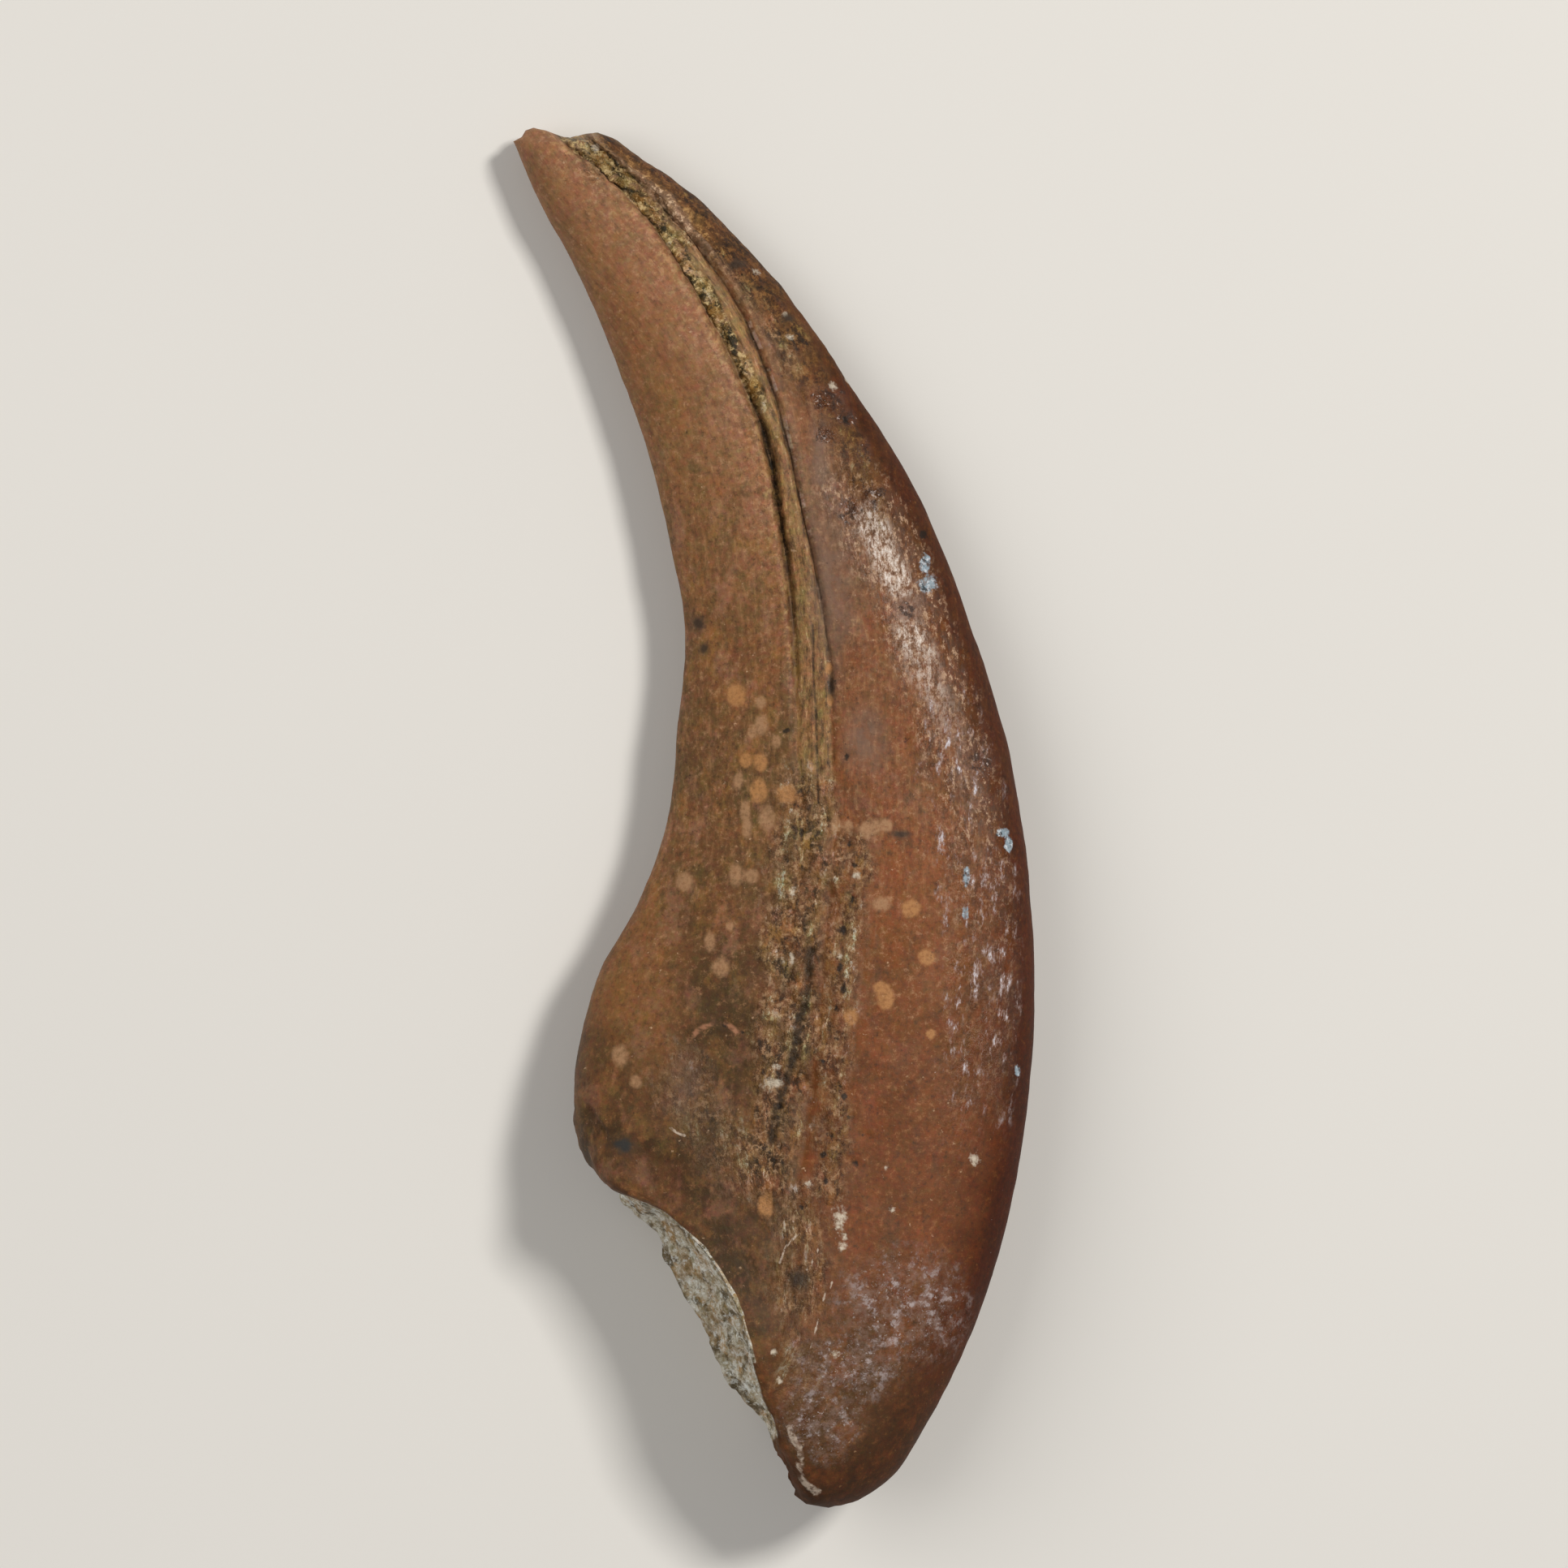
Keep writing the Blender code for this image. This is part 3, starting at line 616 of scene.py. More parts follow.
def flank_zones(points, facts, wobble):
    """Dented ground, the worn strip with its painted highlight, mottled and scabby ground, white flecks
    partly painted as glints, lilac shades and the tip's crest.
    """
    y, edge = points[:, 1], facts["edge"]
    shine = rise(0.25, 1, edge) * rise(3.5, 2.4, edge + 0.8 * wobble)
    shine *= rise(-12.5, -7.5, y) * rise(13, 10, y)
    fleck = rise(0.15, 0.35, edge) * rise(3.6, 2.6, edge + 0.5 * wobble) * rise(0.2, 0.9, edge)
    fleck *= rise(-12, -7, y) * rise(5.5, 2.5, y)
    scuff = rise(0.75, 0.12, distance_to_line(points, HIGHLIGHT_STRIP_LINE) + 0.5 * wobble)
    lilac = np.clip(spot_field(points, LILAC_SHADES) + 0.3, 0.0, 1.0)
    return {
        "shine": shine,
        "fleck": fleck,
        "scuff": scuff * np.interp(y, HIGHLIGHT_STRIP_HEIGHTS, HIGHLIGHT_STRIP_STRENGTHS),
        "mottle": np.clip(0.5 + 1.2 * spot_field(points, MOTTLES), 0.0, 1.0),
        "scab": np.clip(0.35 + 1.3 * spot_field(points, SCABS) + 0.5 * wobble, 0.0, 1.0),
        "lilac": lilac * np.interp(facts["along"], (12.0, 20.0), (0.45, 1.0)),
        "crest": rise(0.5, 0.1, distance_to_line(points, TIP_CREST) + 0.4 * wobble),
    }


def edge_zones(facts, wobble):
    """How much painted shade the edges get, up to 2, and where broken bone shows at the joint facet."""
    along, edge, share = facts["along"], facts["edge"], facts["share"]
    dorsal = rise(0, 1, facts["across"])
    before_tip = rise(36, 32, along)
    wide = dorsal * rise(3, 0.4, edge + 0.4 * wobble) * before_tip
    # Painted shade along every edge, widest and deepest on the dorsal edge before the tip
    rim = np.maximum(rise(1.5, 0.1, edge + 0.4 * wobble), wide) * (1 - 0.6 * rise(35, 38, along))
    narrow = dorsal * rise(1.3, 0.3, edge + 0.3 * wobble) * rise(3, 8, along) * before_tip
    reach = np.interp(along, (34.0, 36.0, 39.0, 41.0), (1.6, 1.6, 1.3, 0.8))
    tip_rim_shade = dorsal * 1.6 * rise(1, 0.3, (edge + 0.3 * wobble) / reach) * rise(33, 36, along)
    width = np.interp(share, (0.12, 0.32, 0.44, 0.7), (-0.2, 0.44, 0.4, -0.2))
    chipped = rise(0.08, -0.08, along + 0.4 * wobble - width) * facts["upper"]
    facet = np.maximum(facts["facet"], chipped) * rise(0.87, 0.8, share + 0.02 * wobble)
    return {"rim": np.maximum(rim, tip_rim_shade) + narrow, "facet": facet}


def zones(points, facts):
    """Weights of the kinds of surface, for every point."""
    wobble = 0.5 * rough_waves(points / 0.9, 3, 21)
    found = {}
    for name, weight in ground_zones(points, facts, wobble).items():
        found[name] = weight * facts["body"]
    for name, weight in flank_zones(points, facts, wobble).items():
        found[name] = weight * facts["upper"]
    found.update(edge_zones(facts, wobble))
    return found


def chip_heights(points, seed, bevel, play):
    """Chips about one unit across, of uneven heights and with bevelled sides."""
    inside, level = plates(points, seed)
    return rise(0.0, bevel, inside) * (1 - play + play * level)


def mark_relief(points, flow):
    """Pits, the furrow, cracks and raised lines of the flank that shows, as heights in millimetres."""
    height = np.zeros(len(points))
    for x, y, half_width, half_height in SPOTS["pit"]:
        away = np.hypot((points[:, 0] - x) / half_width, (points[:, 1] - y) / half_height) / 1.4
        height -= 0.1 * np.clip(1 - away**2, 0.0, 1.0)
    depth = 0.07 + 0.07 * rough_waves(flow * (1.1, 0.3, 1.0), 3, 85)
    height -= depth * np.exp(-(distance_to_line(points, FURROW) / 0.15) ** 2)
    height -= 0.03 * rise(0.12, 0, line_field(points, CRACKS))
    height += 0.02 * rise(1.5, 0, vein_field(points))
    return height + 0.02 * rise(0.15, 0, line_field(points, PINK_LINES))


def fine_relief(points, facts, zone):
    """Crumbs, flakes, strands and small dents, with the marks' relief, as heights in millimetres."""
    along, left = facts["along"], facts["left"]
    flow = np.column_stack([facts[name] for name in ("along", "across", "flank")])
    bent = flow + 0.06 * np.column_stack([rough_waves(points / 0.4, 2, 23 + i) for i in range(3)])
    height = 0.008 * rough_waves(flow * (0.8, 2.0, 1.0), 3, 31) + 0.006 * rough_waves(points * 2.5, 2, 35)
    crumb = chip_heights(bent * (2.6, 3.6, 1.0), 41, 0.3, 0.45)
    height += zone["sediment"] * (0.17 * crumb + 0.1 * rough_waves(points / 0.42, 3, 47) - 0.03)
    sliver = chip_heights(bent * (2.3, 3.6, 1.0), 51, 0.22, 0.5)
    flakes = rough_waves(flow * (1.9, 2.8, 1.0), 4, 55)
    tip_part = rise(34, 37, along)
    coarse = (1 + 0.2 * tip_part) * (0.15 + 0.85 * rise(0.1, 0.9, facts["edge"]))
    ridge = rough_waves(flow * (0.8, 4.0, 1.0), 3, 59)
    height += zone["flaky"] * coarse * (0.08 * (sliver - 0.4) + 0.09 * flakes + 0.09 * tip_part * ridge)
    height += zone["crumbs"] * 0.1 * rough_waves(points / 0.3, 3, 57)
    height += zone["shine"] * 0.02 * rough_waves(flow * (1.8, 3.0, 1.0), 3, 61)
    height += zone["scuff"] * 0.03 * rough_waves(flow * (3.0, 3.6, 1.0), 3, 67)
    height += zone["scab"] * 0.06 * (rough_waves(points / 0.35, 3, 63) - 0.4)
    height += zone["mottle"] * 0.02 * rough_waves(points / 0.5, 3, 65)
    lump = chip_heights(points * 1.7 + 0.15 * bent, 71, 0.3, 0.5)
    height += (facts["facet"] > 0.9) * (0.08 * lump + 0.09 * rough_waves(points / 0.5, 4, 75) - 0.04)
    grain = rise(15, 20, along) * rise(34, 32, along)
    grain = grain * rise(-0.75, -0.4, left + 0.3) * rise(0.3, 0, facts["right"])
    height += grain * 0.045 * rough_waves(bent * (0.8, 5.0, 1.0), 3, 81)
    height += mark_relief(points, flow) * facts["upper"]
    return height * rise(-0.2, 0.6, along.max() - along)


def vertex_normals(mesh):
    """The mesh's vertex normals as an array."""
    normals = np.zeros(len(mesh.vertices) * 3, np.float32)
    mesh.vertices.foreach_get("normal", normals)
    return normals.reshape(-1, 3).astype(float)


def store(mesh, name, values):
    """Keep three values on every point, for the material to read."""
    attribute = mesh.attributes.new(name, "FLOAT_VECTOR", "POINT")
    attribute.data.foreach_set("vector", np.column_stack(values).astype(np.float32).ravel())


def inside_box(points):
    """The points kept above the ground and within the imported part's box, in metres."""
    points[:, 2] = np.maximum(points[:, 2], 0.0)
    low, high = points.min(axis=0), points.max(axis=0)
    cad_low, cad_high = (np.array(corner) / MM for corner in CAD_BOX)
    middle = (low + high) / 2
    middle[2] = 0.0
    points = (points - middle) * np.minimum(1.0, (cad_high - cad_low) / (high - low))
    points[:, :2] += (cad_low + cad_high)[:2] / 2
    return points * MM


def build_claw():
    """The claw's fine mesh, with what its material reads."""
    points, facts, quads = claw_surface()
    mesh = bpy.data.meshes.new("fossil_claw")
    mesh.from_pydata(points.tolist(), [], quads)
    mesh.update()
    normals = vertex_normals(mesh)
    zone = zones(points, facts)
    values = {**facts, **dict(zip("xyz", points.T)), **zone, **mark_fields(points, facts["upper"])}
    for name, parts in KEPT.items():
        store(mesh, name, [values[part] for part in parts])
    tip_outline = rise(0.8, 0, facts["edge"]) * rise(32, 35, facts["along"])
    height = large_relief(points, normals) * (1 - 0.6 * tip_outline) + fine_relief(points, facts, zone)
    points = inside_box(points + normals * height[:, None])
    mesh.vertices.foreach_set("co", points.astype(np.float32).ravel())
    mesh.update()
    mesh.shade_smooth()
    claw = bpy.data.objects.new("fossil_claw", mesh)
    bpy.context.scene.collection.objects.link(claw)
    return claw


class Tree:
    """A material's node tree, with short ways to add its nodes."""

    def __init__(self, name):
        self.material = bpy.data.materials.new(name)
        self.material.use_nodes = True
        self.nodes = self.material.node_tree.nodes
        self.links = self.material.node_tree.links
        self.shader = self.nodes["Principled BSDF"]

    def connect(self, node, values):
        """Set a node's inputs to values, or link them to sockets."""
        for key, value in values.items():
            if isinstance(value, bpy.types.NodeSocket):
                self.links.new(value, node.inputs[key])
            else:
                node.inputs[key].default_value = value
        return node

    def add(self, kind, values, **settings):
        """A node with its settings and inputs."""
        node = self.nodes.new(kind)
        for name, value in settings.items():
            setattr(node, name, value)
        return self.connect(node, values)

    def read(self):
        """What the mesh keeps: a vector under each name, and each of its three values under its own."""
        found = {}
        for name, parts in KEPT.items():
            found[name] = self.add("ShaderNodeAttribute", {}, attribute_name=name).outputs["Vector"]
            split = self.add("ShaderNodeSeparateXYZ", {"Vector": found[name]})
            found.update(zip(parts, split.outputs))
        return SimpleNamespace(**found)

    def math(self, operation, first, second=0.0):
        """Two values put together."""
        return self.add("ShaderNodeMath", {0: first, 1: second}, operation=operation).outputs["Value"]

    def times(self, *factors):
        """The product of some values."""
        return reduce(partial(self.math, "MULTIPLY"), factors)

    def plus(self, *parts):
        """The sum of some values."""
        return reduce(partial(self.math, "ADD"), parts)

    def span(self, value, low, high, at_high=1.0, at_low=0.0):
        """Goes smoothly from one value where the given one is low to another where it is high."""
        inputs = {"Value": value, "From Min": low, "From Max": high, "To Min": at_low, "To Max": at_high}
        node = self.add("ShaderNodeMapRange", inputs, interpolation_type="SMOOTHSTEP", clamp=True)
        return node.outputs["Result"]

    def mapped(self, vector, scale, offset):
        """The vector scaled, by one number or by one for each direction, and moved."""
        if not isinstance(scale, tuple):
            scale = (scale, scale, scale)
        inputs = {"Vector": vector, "Scale": scale, "Location": offset}
        return self.add("ShaderNodeMapping", inputs).outputs["Vector"]

    def texture(self, vector, scale, detail, rough, offset=(0, 0, 0)):
        """The node of a noise. The scale is in waves for each unit of the vector."""
        inputs = {"Vector": self.mapped(vector, scale, offset), "Scale": 1.0}
        return self.add("ShaderNodeTexNoise", {**inputs, "Detail": detail, "Roughness": rough})

    def noise(self, vector, scale, detail, rough, offset=(0, 0, 0)):
        """Noise from 0 to 1."""
        return self.texture(vector, scale, detail, rough, offset).outputs["Fac"]

    def patch(self, vector, scale, detail, rough, offset, low, high, at_high=1.0, at_low=0.0):
        """Noise read as patches."""
        return self.span(self.noise(vector, scale, detail, rough, offset), low, high, at_high, at_low)

    def scaled(self, vector, factor, rest):
        """A vector times another one, and a third added."""
        node = self.add("ShaderNodeVectorMath", {0: vector, 1: factor, 2: rest}, operation="MULTIPLY_ADD")
        return node.outputs["Vector"]

    def warp(self, vector, scale, push):
        """The vector pushed about by noise, so that what is drawn with it gets uneven."""
        return self.scaled(self.texture(vector, scale, 3, 0.5).outputs["Color"], push, vector)

    def vary(self, colour, vector, scale, strength, offset):
        """The colour with its red, green and blue each raised and lowered by noise of their own."""
        stir = self.texture(vector, scale, 4, 0.65, offset).outputs["Color"]
        return self.mix(1.0, colour, self.scaled(stir, (2 * strength,) * 3, (1 - strength,) * 3), "MULTIPLY")

    def cells(self, vector, scale, offset=(0, 0, 0)):
        """Uneven cells: the distance to a cell's middle, and a number that each cell has of its own."""
        inputs = {"Vector": self.mapped(vector, scale, offset), "Scale": 1.0}
        node = self.add("ShaderNodeTexVoronoi", inputs)
        parts = self.add("ShaderNodeSeparateColor", {"Color": node.outputs["Color"]})
        return node.outputs["Distance"], parts.outputs["Red"]

    def mix(self, amount, first, second, blend="MIX"):
        """Two colours mixed. Three numbers are a colour on the screen, and four are a linear one."""
        node = self.add("ShaderNodeMix", {}, data_type="RGBA", blend_type=blend, clamp_factor=True)
        self.connect(node, {0: amount, 6: linear(first), 7: linear(second)})
        return node.outputs[2]

    def paint(self, colour, *layers):
        """The colour with layers over it, each an amount and another colour."""
        for amount, tint in layers:
            colour = self.mix(amount, colour, tint)
        return colour

    def ramp(self, value, *stops):
        """A run of colours over a value from 0 to 1."""
        node = self.add("ShaderNodeValToRGB", {"Fac": value})
        elements = node.color_ramp.elements
        while len(elements) < len(stops):
            elements.new(0.5)
        for element, (place, colour) in zip(elements, stops):
            element.position = place
            element.color = linear(colour)
        return node.outputs["Color"]


def linear(colour):
    """A colour of three numbers from 0 to 255, as on a screen, as the linear one that a shader takes."""
    if not isinstance(colour, tuple) or len(colour) != 3:
        return colour
    parts = [value / 255 for value in colour]
    return (*(part / 12.92 if part <= 0.04045 else ((part + 0.055) / 1.055) ** 2.4 for part in parts), 1.0)


def crumb_colour(tree, at, amount, light, dark, colour):
    """Small crumbs, some light and some dark; the light ones are partly pale crumbs and partly painted
    glints.
    """
    grit = tree.noise(at.form, 4.4, 4, 0.75, (9, 9, 2))
    return tree.paint(colour, (tree.times(amount, tree.span(grit, 0.52, 0.62)), light),
                      (tree.times(amount, tree.span(grit, 0.46, 0.36)), dark))


def mottles(tree, at, offset, low, high, most=1.0):
    """Longish mottles with ragged edges."""
    return tree.patch(at.form, (1.1, 0.7, 1.1), 8, 0.7, offset, low, high, most)


def ventral_colour(tree, at):
    """The ventral flank: warm brown with ochre, olive and pinkish mottles."""
    span, times = tree.span, tree.times
    # The ramp darkens toward the joint end: partly the bone's own colour, partly painted shade where the
    # light falls off
    colour = tree.ramp(span(at.along, 0, 45), (0.0, (64, 43, 18)), (0.2, (74, 51, 24)), (0.36, (100, 70, 38)),
                       (0.56, (112, 76, 42)), (0.76, (136, 95, 58)), (1.0, (136, 95, 57)))
    calm = times(span(at.along, 30, 36, 0.4, 1), span(at.along, 10, 18, 1, 0.55))
    near_groove = times(span(at.across, -3.4, -0.8), span(at.along, 24, 30, 0.6))
    golden = times(span(at.across, -3.6, -5.6), span(at.along, 4, 9, 0.45), span(at.along, 23, 17))
    colour = tree.paint(
        colour,
        (tree.patch(at.form, 0.35, 3, 0.55, (0, 0, 0), 0.4, 0.6, 0.35), (134, 84, 50)),
        (near_groove, (154, 106, 76)),
        (golden, (150, 100, 54)),
        (times(calm, mottles(tree, at, (3, 1, 0), 0.48, 0.62, 0.55)), (152, 104, 54)),
        (times(calm, mottles(tree, at, (7, 4, 0), 0.48, 0.62, 0.5)), (92, 72, 38)),
        (times(calm, mottles(tree, at, (1, 9, 0), 0.5, 0.64, 0.6)), (152, 106, 80)),
    )
    margin = times(span(at.across, -2.4, -0.7), span(at.along, 24, 30, 0.35))
    return crumb_colour(tree, at, margin, (206, 166, 122), (104, 70, 44), colour)


def dorsal_colour(tree, at):
    """The dorsal flank: redder brown, most orange in its lower middle, and dark at the joint end: partly its
    own colour, partly painted shade where the light falls off.
    """
    span, times = tree.span, tree.times
    colour = tree.ramp(span(at.along, 0, 45), (0.0, (82, 52, 19)), (0.12, (91, 53, 16)),
                       (0.24, (119, 67, 23)), (0.34, (130, 74, 34)), (0.45, (124, 75, 40)),
                       (0.7, (120, 80, 50)), (1.0, (118, 88, 54)))
    broad = tree.patch(at.form, 0.4, 3, 0.5, (5, 2, 0), 0.42, 0.62)
    return tree.paint(
        colour,
        (times(broad, span(at.along, 2, 12, 0.5, 0.15)), (130, 72, 34)),
        (mottles(tree, at, (2, 6, 0), 0.49, 0.63, 0.42), (138, 82, 44)),
        (times(span(at.along, 3, 6, 0.35), span(at.along, 14, 9)), (132, 64, 20)),
        (times(mottles(tree, at, (4, 8, 0), 0.49, 0.63), span(at.along, 8, 24, 0.55, 0.12)), (130, 94, 70)),
        (mottles(tree, at, (6, 3, 0), 0.5, 0.64, 0.6), (92, 56, 30)),
    )


def strand_colour(tree, at, left, right, colour):
    """The groove's strip of drawn-out strands, with its greyish and its pale margin."""
    span, times = tree.span, tree.times
    strip = times(span(left, -0.12, 0.06), span(right, 0.04, -0.06), span(at.along, 15, 20, 0.8))
    bent = tree.warp(at.flow, (1.2, 1.2, 1), (0, 0.22, 0))
    strand = tree.noise(bent, (1.3, 6, 1), 6, 0.78, (1, 1, 0))
    strands = tree.mix(span(strand, 0.36, 0.54), (58, 42, 22), (144, 108, 64))
    strands = tree.mix(span(strand, 0.54, 0.68), strands, (210, 174, 124))
    strands = tree.vary(strands, at.flow, (1, 2.2, 1), 0.4, (4, 0, 0))
    shade = times(span(right, 0, 0.06), span(right, 0.65, 0.15), span(at.along, 21, 25, 0.55),
                  span(at.along, 35, 30))
    pale = times(span(left, -0.45, -0.16), span(left, -0.02, -0.12), span(at.along, 20, 25, 0.6),
                 tree.patch(at.flow, (3.4, 2.6, 1), 5, 0.7, (8, 3, 0), 0.48, 0.6))
    return tree.paint(colour, (strip, strands), (shade, (112, 86, 68)), (pale, (198, 156, 108)))


def groove_colour(tree, at, colour):
    """The groove's strip, painted shade along its two lines, and a painted highlight on the edge beside the
    right one.
    """
    span, times = tree.span, tree.times
    wander = times(tree.math("SUBTRACT", tree.noise(at.flow, (0.9, 0, 1), 4, 0.6), 0.5), 0.2)
    left, right = tree.plus(at.left, wander), tree.plus(at.right, wander)
    colour = strand_colour(tree, at, left, right, colour)
    broken = tree.noise(at.flow, (1.6, 1, 1), 5, 0.65, (8, 0, 0))
    reach = tree.ramp(span(at.along, 20, 44), (0.0, (0, 0, 0, 1)), (0.3, (1, 1, 1, 1)), (0.53, (1, 1, 1, 1)),
                      (0.6, (0.35, 0.35, 0.35, 1)))
    # Painted shade in the creases of the groove's two lines
    left_line_shade = times(span(tree.math("ABSOLUTE", left), 0.19, 0.05), reach, span(broken, 0.66, 0.48, 1, 0.2))
    right_line_shade = times(span(tree.math("ABSOLUTE", right), 0.1, 0.02), span(at.along, 22.5, 25, 0.8),
                       span(broken, 0.34, 0.54, 1, 0.25))
    # Painted highlight on the lit edge beside the right line
    lit_edge_highlight = times(span(right, 0.02, 0.07), span(right, 0.2, 0.12), span(at.along, 25, 29, 0.85),
                span(broken, 0.44, 0.58))
    dark = tree.math("MAXIMUM", left_line_shade, right_line_shade)
    return tree.paint(colour, (dark, (32, 23, 9)), (lit_edge_highlight, (204, 176, 154)))


def grain_colour(tree, at, colour):
    """Fine grain, small shifts of colour, faint streaks, dark specks and bright specks painted as small
    glints over the whole claw.
    """
    span, times = tree.span, tree.times
    fine = tree.noise(at.form, 4.2, 5, 0.78)
    speck_and_glint = tree.noise(at.form, 4, 3, 0.7, (1, 8, 0))
    streak = tree.noise(at.flow, (1.4, 5.5, 1), 5, 0.72)
    straight = span(at.along, 12, 19, 0.42)
    calm = span(at.along, 31, 36, 0.45, 1)
    bright_tone = tree.mix(span(at.along, 8, 14), (188, 134, 86), (190, 146, 108))
    colour = tree.vary(colour, at.form, 1.6, 0.22, (2, 0, 4))
    return tree.paint(
        tree.vary(colour, at.form, 5, 0.34, (0, 5, 1)),
        (times(straight, span(streak, 0.5, 0.7)), (172, 128, 86)),
        (times(straight, span(streak, 0.5, 0.3)), (66, 43, 24)),
        (times(calm, span(fine, 0.5, 0.3, 0.62)), (56, 36, 19)),
        (times(span(at.along, 4, 16, 1, 0.5), span(fine, 0.52, 0.74, 0.62)), bright_tone),
        # Bright specks: painted glints
        (span(speck_and_glint, 0.66, 0.76, 0.6), (208, 172, 138)),
        (times(calm, span(speck_and_glint, 0.34, 0.24, 0.55)), (50, 34, 21)),
    )


def flaky_colour(tree, at):
    """Rough ground: slivers of brown, ochre, olive and pale bone with dark gaps between them."""
    span, times = tree.span, tree.times
    bent = tree.warp(at.flow, (5, 5, 1), (0.14, 0.13, 0))
    away, tint = tree.cells(bent, (2.8, 4.6, 1))
    chips = tree.noise(bent, (2.3, 3.9, 1), 7, 0.85, (3, 1, 0.4))
    band = tree.patch(at.flow, (0.2, 1.6, 1), 4, 0.6, (7, 1, 0), 0.38, 0.62, 0.16, -0.16)
    colour = tree.ramp(tree.plus(times(tint, 0.26), span(chips, 0.35, 0.63, 0.74), band), (0.0, (38, 28, 15)),
                       (0.22, (62, 44, 25)), (0.4, (98, 70, 40)), (0.56, (122, 88, 54)),
                       (0.74, (156, 118, 76)), (0.88, (192, 164, 124)), (1.0, (232, 222, 198)))
    near_tip = span(at.along, 34, 37)
    warm_tone = tree.mix(span(at.along, 33, 36), (130, 82, 48), (146, 110, 84))
    gold = tree.patch(at.flow, (0.8, 1.8, 1), 5, 0.7, (6, 6, 0), 0.52, 0.62)
    ridge = tree.noise(at.flow, (0.9, 4.6, 1), 5, 0.72, (2, 7, 0))
    colour = tree.paint(
        colour,
        (tree.patch(at.form, 0.9, 3, 0.6, (4, 4, 0), 0.42, 0.6, 0.45), warm_tone),
        (times(gold, span(near_tip, 0, 1, 0.2, 0.55)), (166, 118, 58)),
        (times(near_tip, span(ridge, 0.52, 0.62, 0.75)), (190, 152, 116)),
        (times(near_tip, span(ridge, 0.47, 0.37, 0.85)), (58, 48, 22)),
    )
    colour = tree.vary(colour, at.form, (1.4, 0.9, 1.4), 0.55, (9, 2, 5))
    full = tree.math("MAXIMUM", span(at.along, 5, 16), span(at.across, -2.2, -1))
    dim = tree.mix(full, (0.62, 0.6, 0.56, 1), (1, 1, 1, 1))
    gap = times(span(away, 0.5, 0.8, 0.9), span(chips, 0.58, 0.44))
    return tree.mix(gap, tree.mix(1.0, colour, dim, "MULTIPLY"), (28, 20, 11))


def sediment_colour(tree, at):
    """Sediment in the groove: olive, ochre and pinkish crumbs with greenish black gaps."""
    span, times = tree.span, tree.times
    bent = tree.warp(at.flow, (5, 5, 1), (0.15, 0.13, 0))
    away, tint = tree.cells(bent, (2, 3.2, 1), (1, 6, 0.2))
    chips = tree.noise(bent, (2.1, 3.2, 1), 7, 0.84, (5, 1, 0.7))
    colour = tree.ramp(tree.plus(times(tint, 0.35), span(chips, 0.32, 0.68, 0.72)), (0.0, (34, 36, 16)),
                       (0.2, (62, 56, 26)), (0.38, (108, 84, 40)), (0.56, (144, 114, 64)),
                       (0.74, (176, 148, 98)), (0.88, (204, 180, 136)), (1.0, (234, 222, 194)))
    return tree.paint(
        tree.vary(colour, at.form, 1.2, 0.4, (9, 2, 5)),
        (tree.patch(at.form, 1.1, 3, 0.6, (2, 7, 0), 0.42, 0.58, 0.4), (156, 106, 42)),
        (tree.patch(at.form, 2, 5, 0.72, (7, 2, 0), 0.52, 0.6, 0.55), (162, 122, 96)),
        (tree.patch(at.form, 2, 5, 0.72, (2, 9, 0), 0.52, 0.6, 0.5), (96, 86, 44)),
        (times(span(away, 0.44, 0.72, 0.9), span(chips, 0.6, 0.46)), (30, 30, 15)),
    )


def facet_colour(tree, at):
    """Broken bone of the joint facet: grey, tan and whitish crumbs, with painted glints among them."""
    span, times = tree.span, tree.times
    bent = tree.warp(at.form, 4, (0.16, 0.16, 0.16))
    away, tint = tree.cells(bent, 2, (0, 6, 0))
    chips = tree.noise(bent, 1.6, 7, 0.82, (2, 0, 0))
    colour = tree.ramp(tree.plus(times(tint, 0.3), span(chips, 0.32, 0.68, 0.75)), (0.0, (96, 80, 50)),
                       (0.22, (146, 126, 90)), (0.45, (184, 172, 146)), (0.7, (216, 212, 198)),
                       (1.0, (246, 248, 244)))
    colour = tree.paint(
        colour,
        (tree.patch(at.form, 1, 3, 0.6, (0, 3, 0), 0.46, 0.62, 0.5), (160, 126, 86)),
        (tree.patch(at.form, 1.6, 5, 0.7, (4, 0, 7), 0.52, 0.62, 0.5), (126, 116, 72)),
        (tree.patch(at.form, 1.8, 5, 0.7, (8, 5, 1), 0.53, 0.62, 0.5), (182, 138, 78)),
        (times(span(away, 0.48, 0.76, 0.8), span(chips, 0.6, 0.46)), (70, 58, 36)),
    )
    # Light crumbs here are painted glints, dark ones pores
    return crumb_colour(tree, at, 0.6, (238, 240, 236), (98, 82, 54), colour)


def frayed(tree, at, field, play):
    """A mark's field with its edge made uneven."""
    return tree.plus(field, tree.times(at.ragged, play))


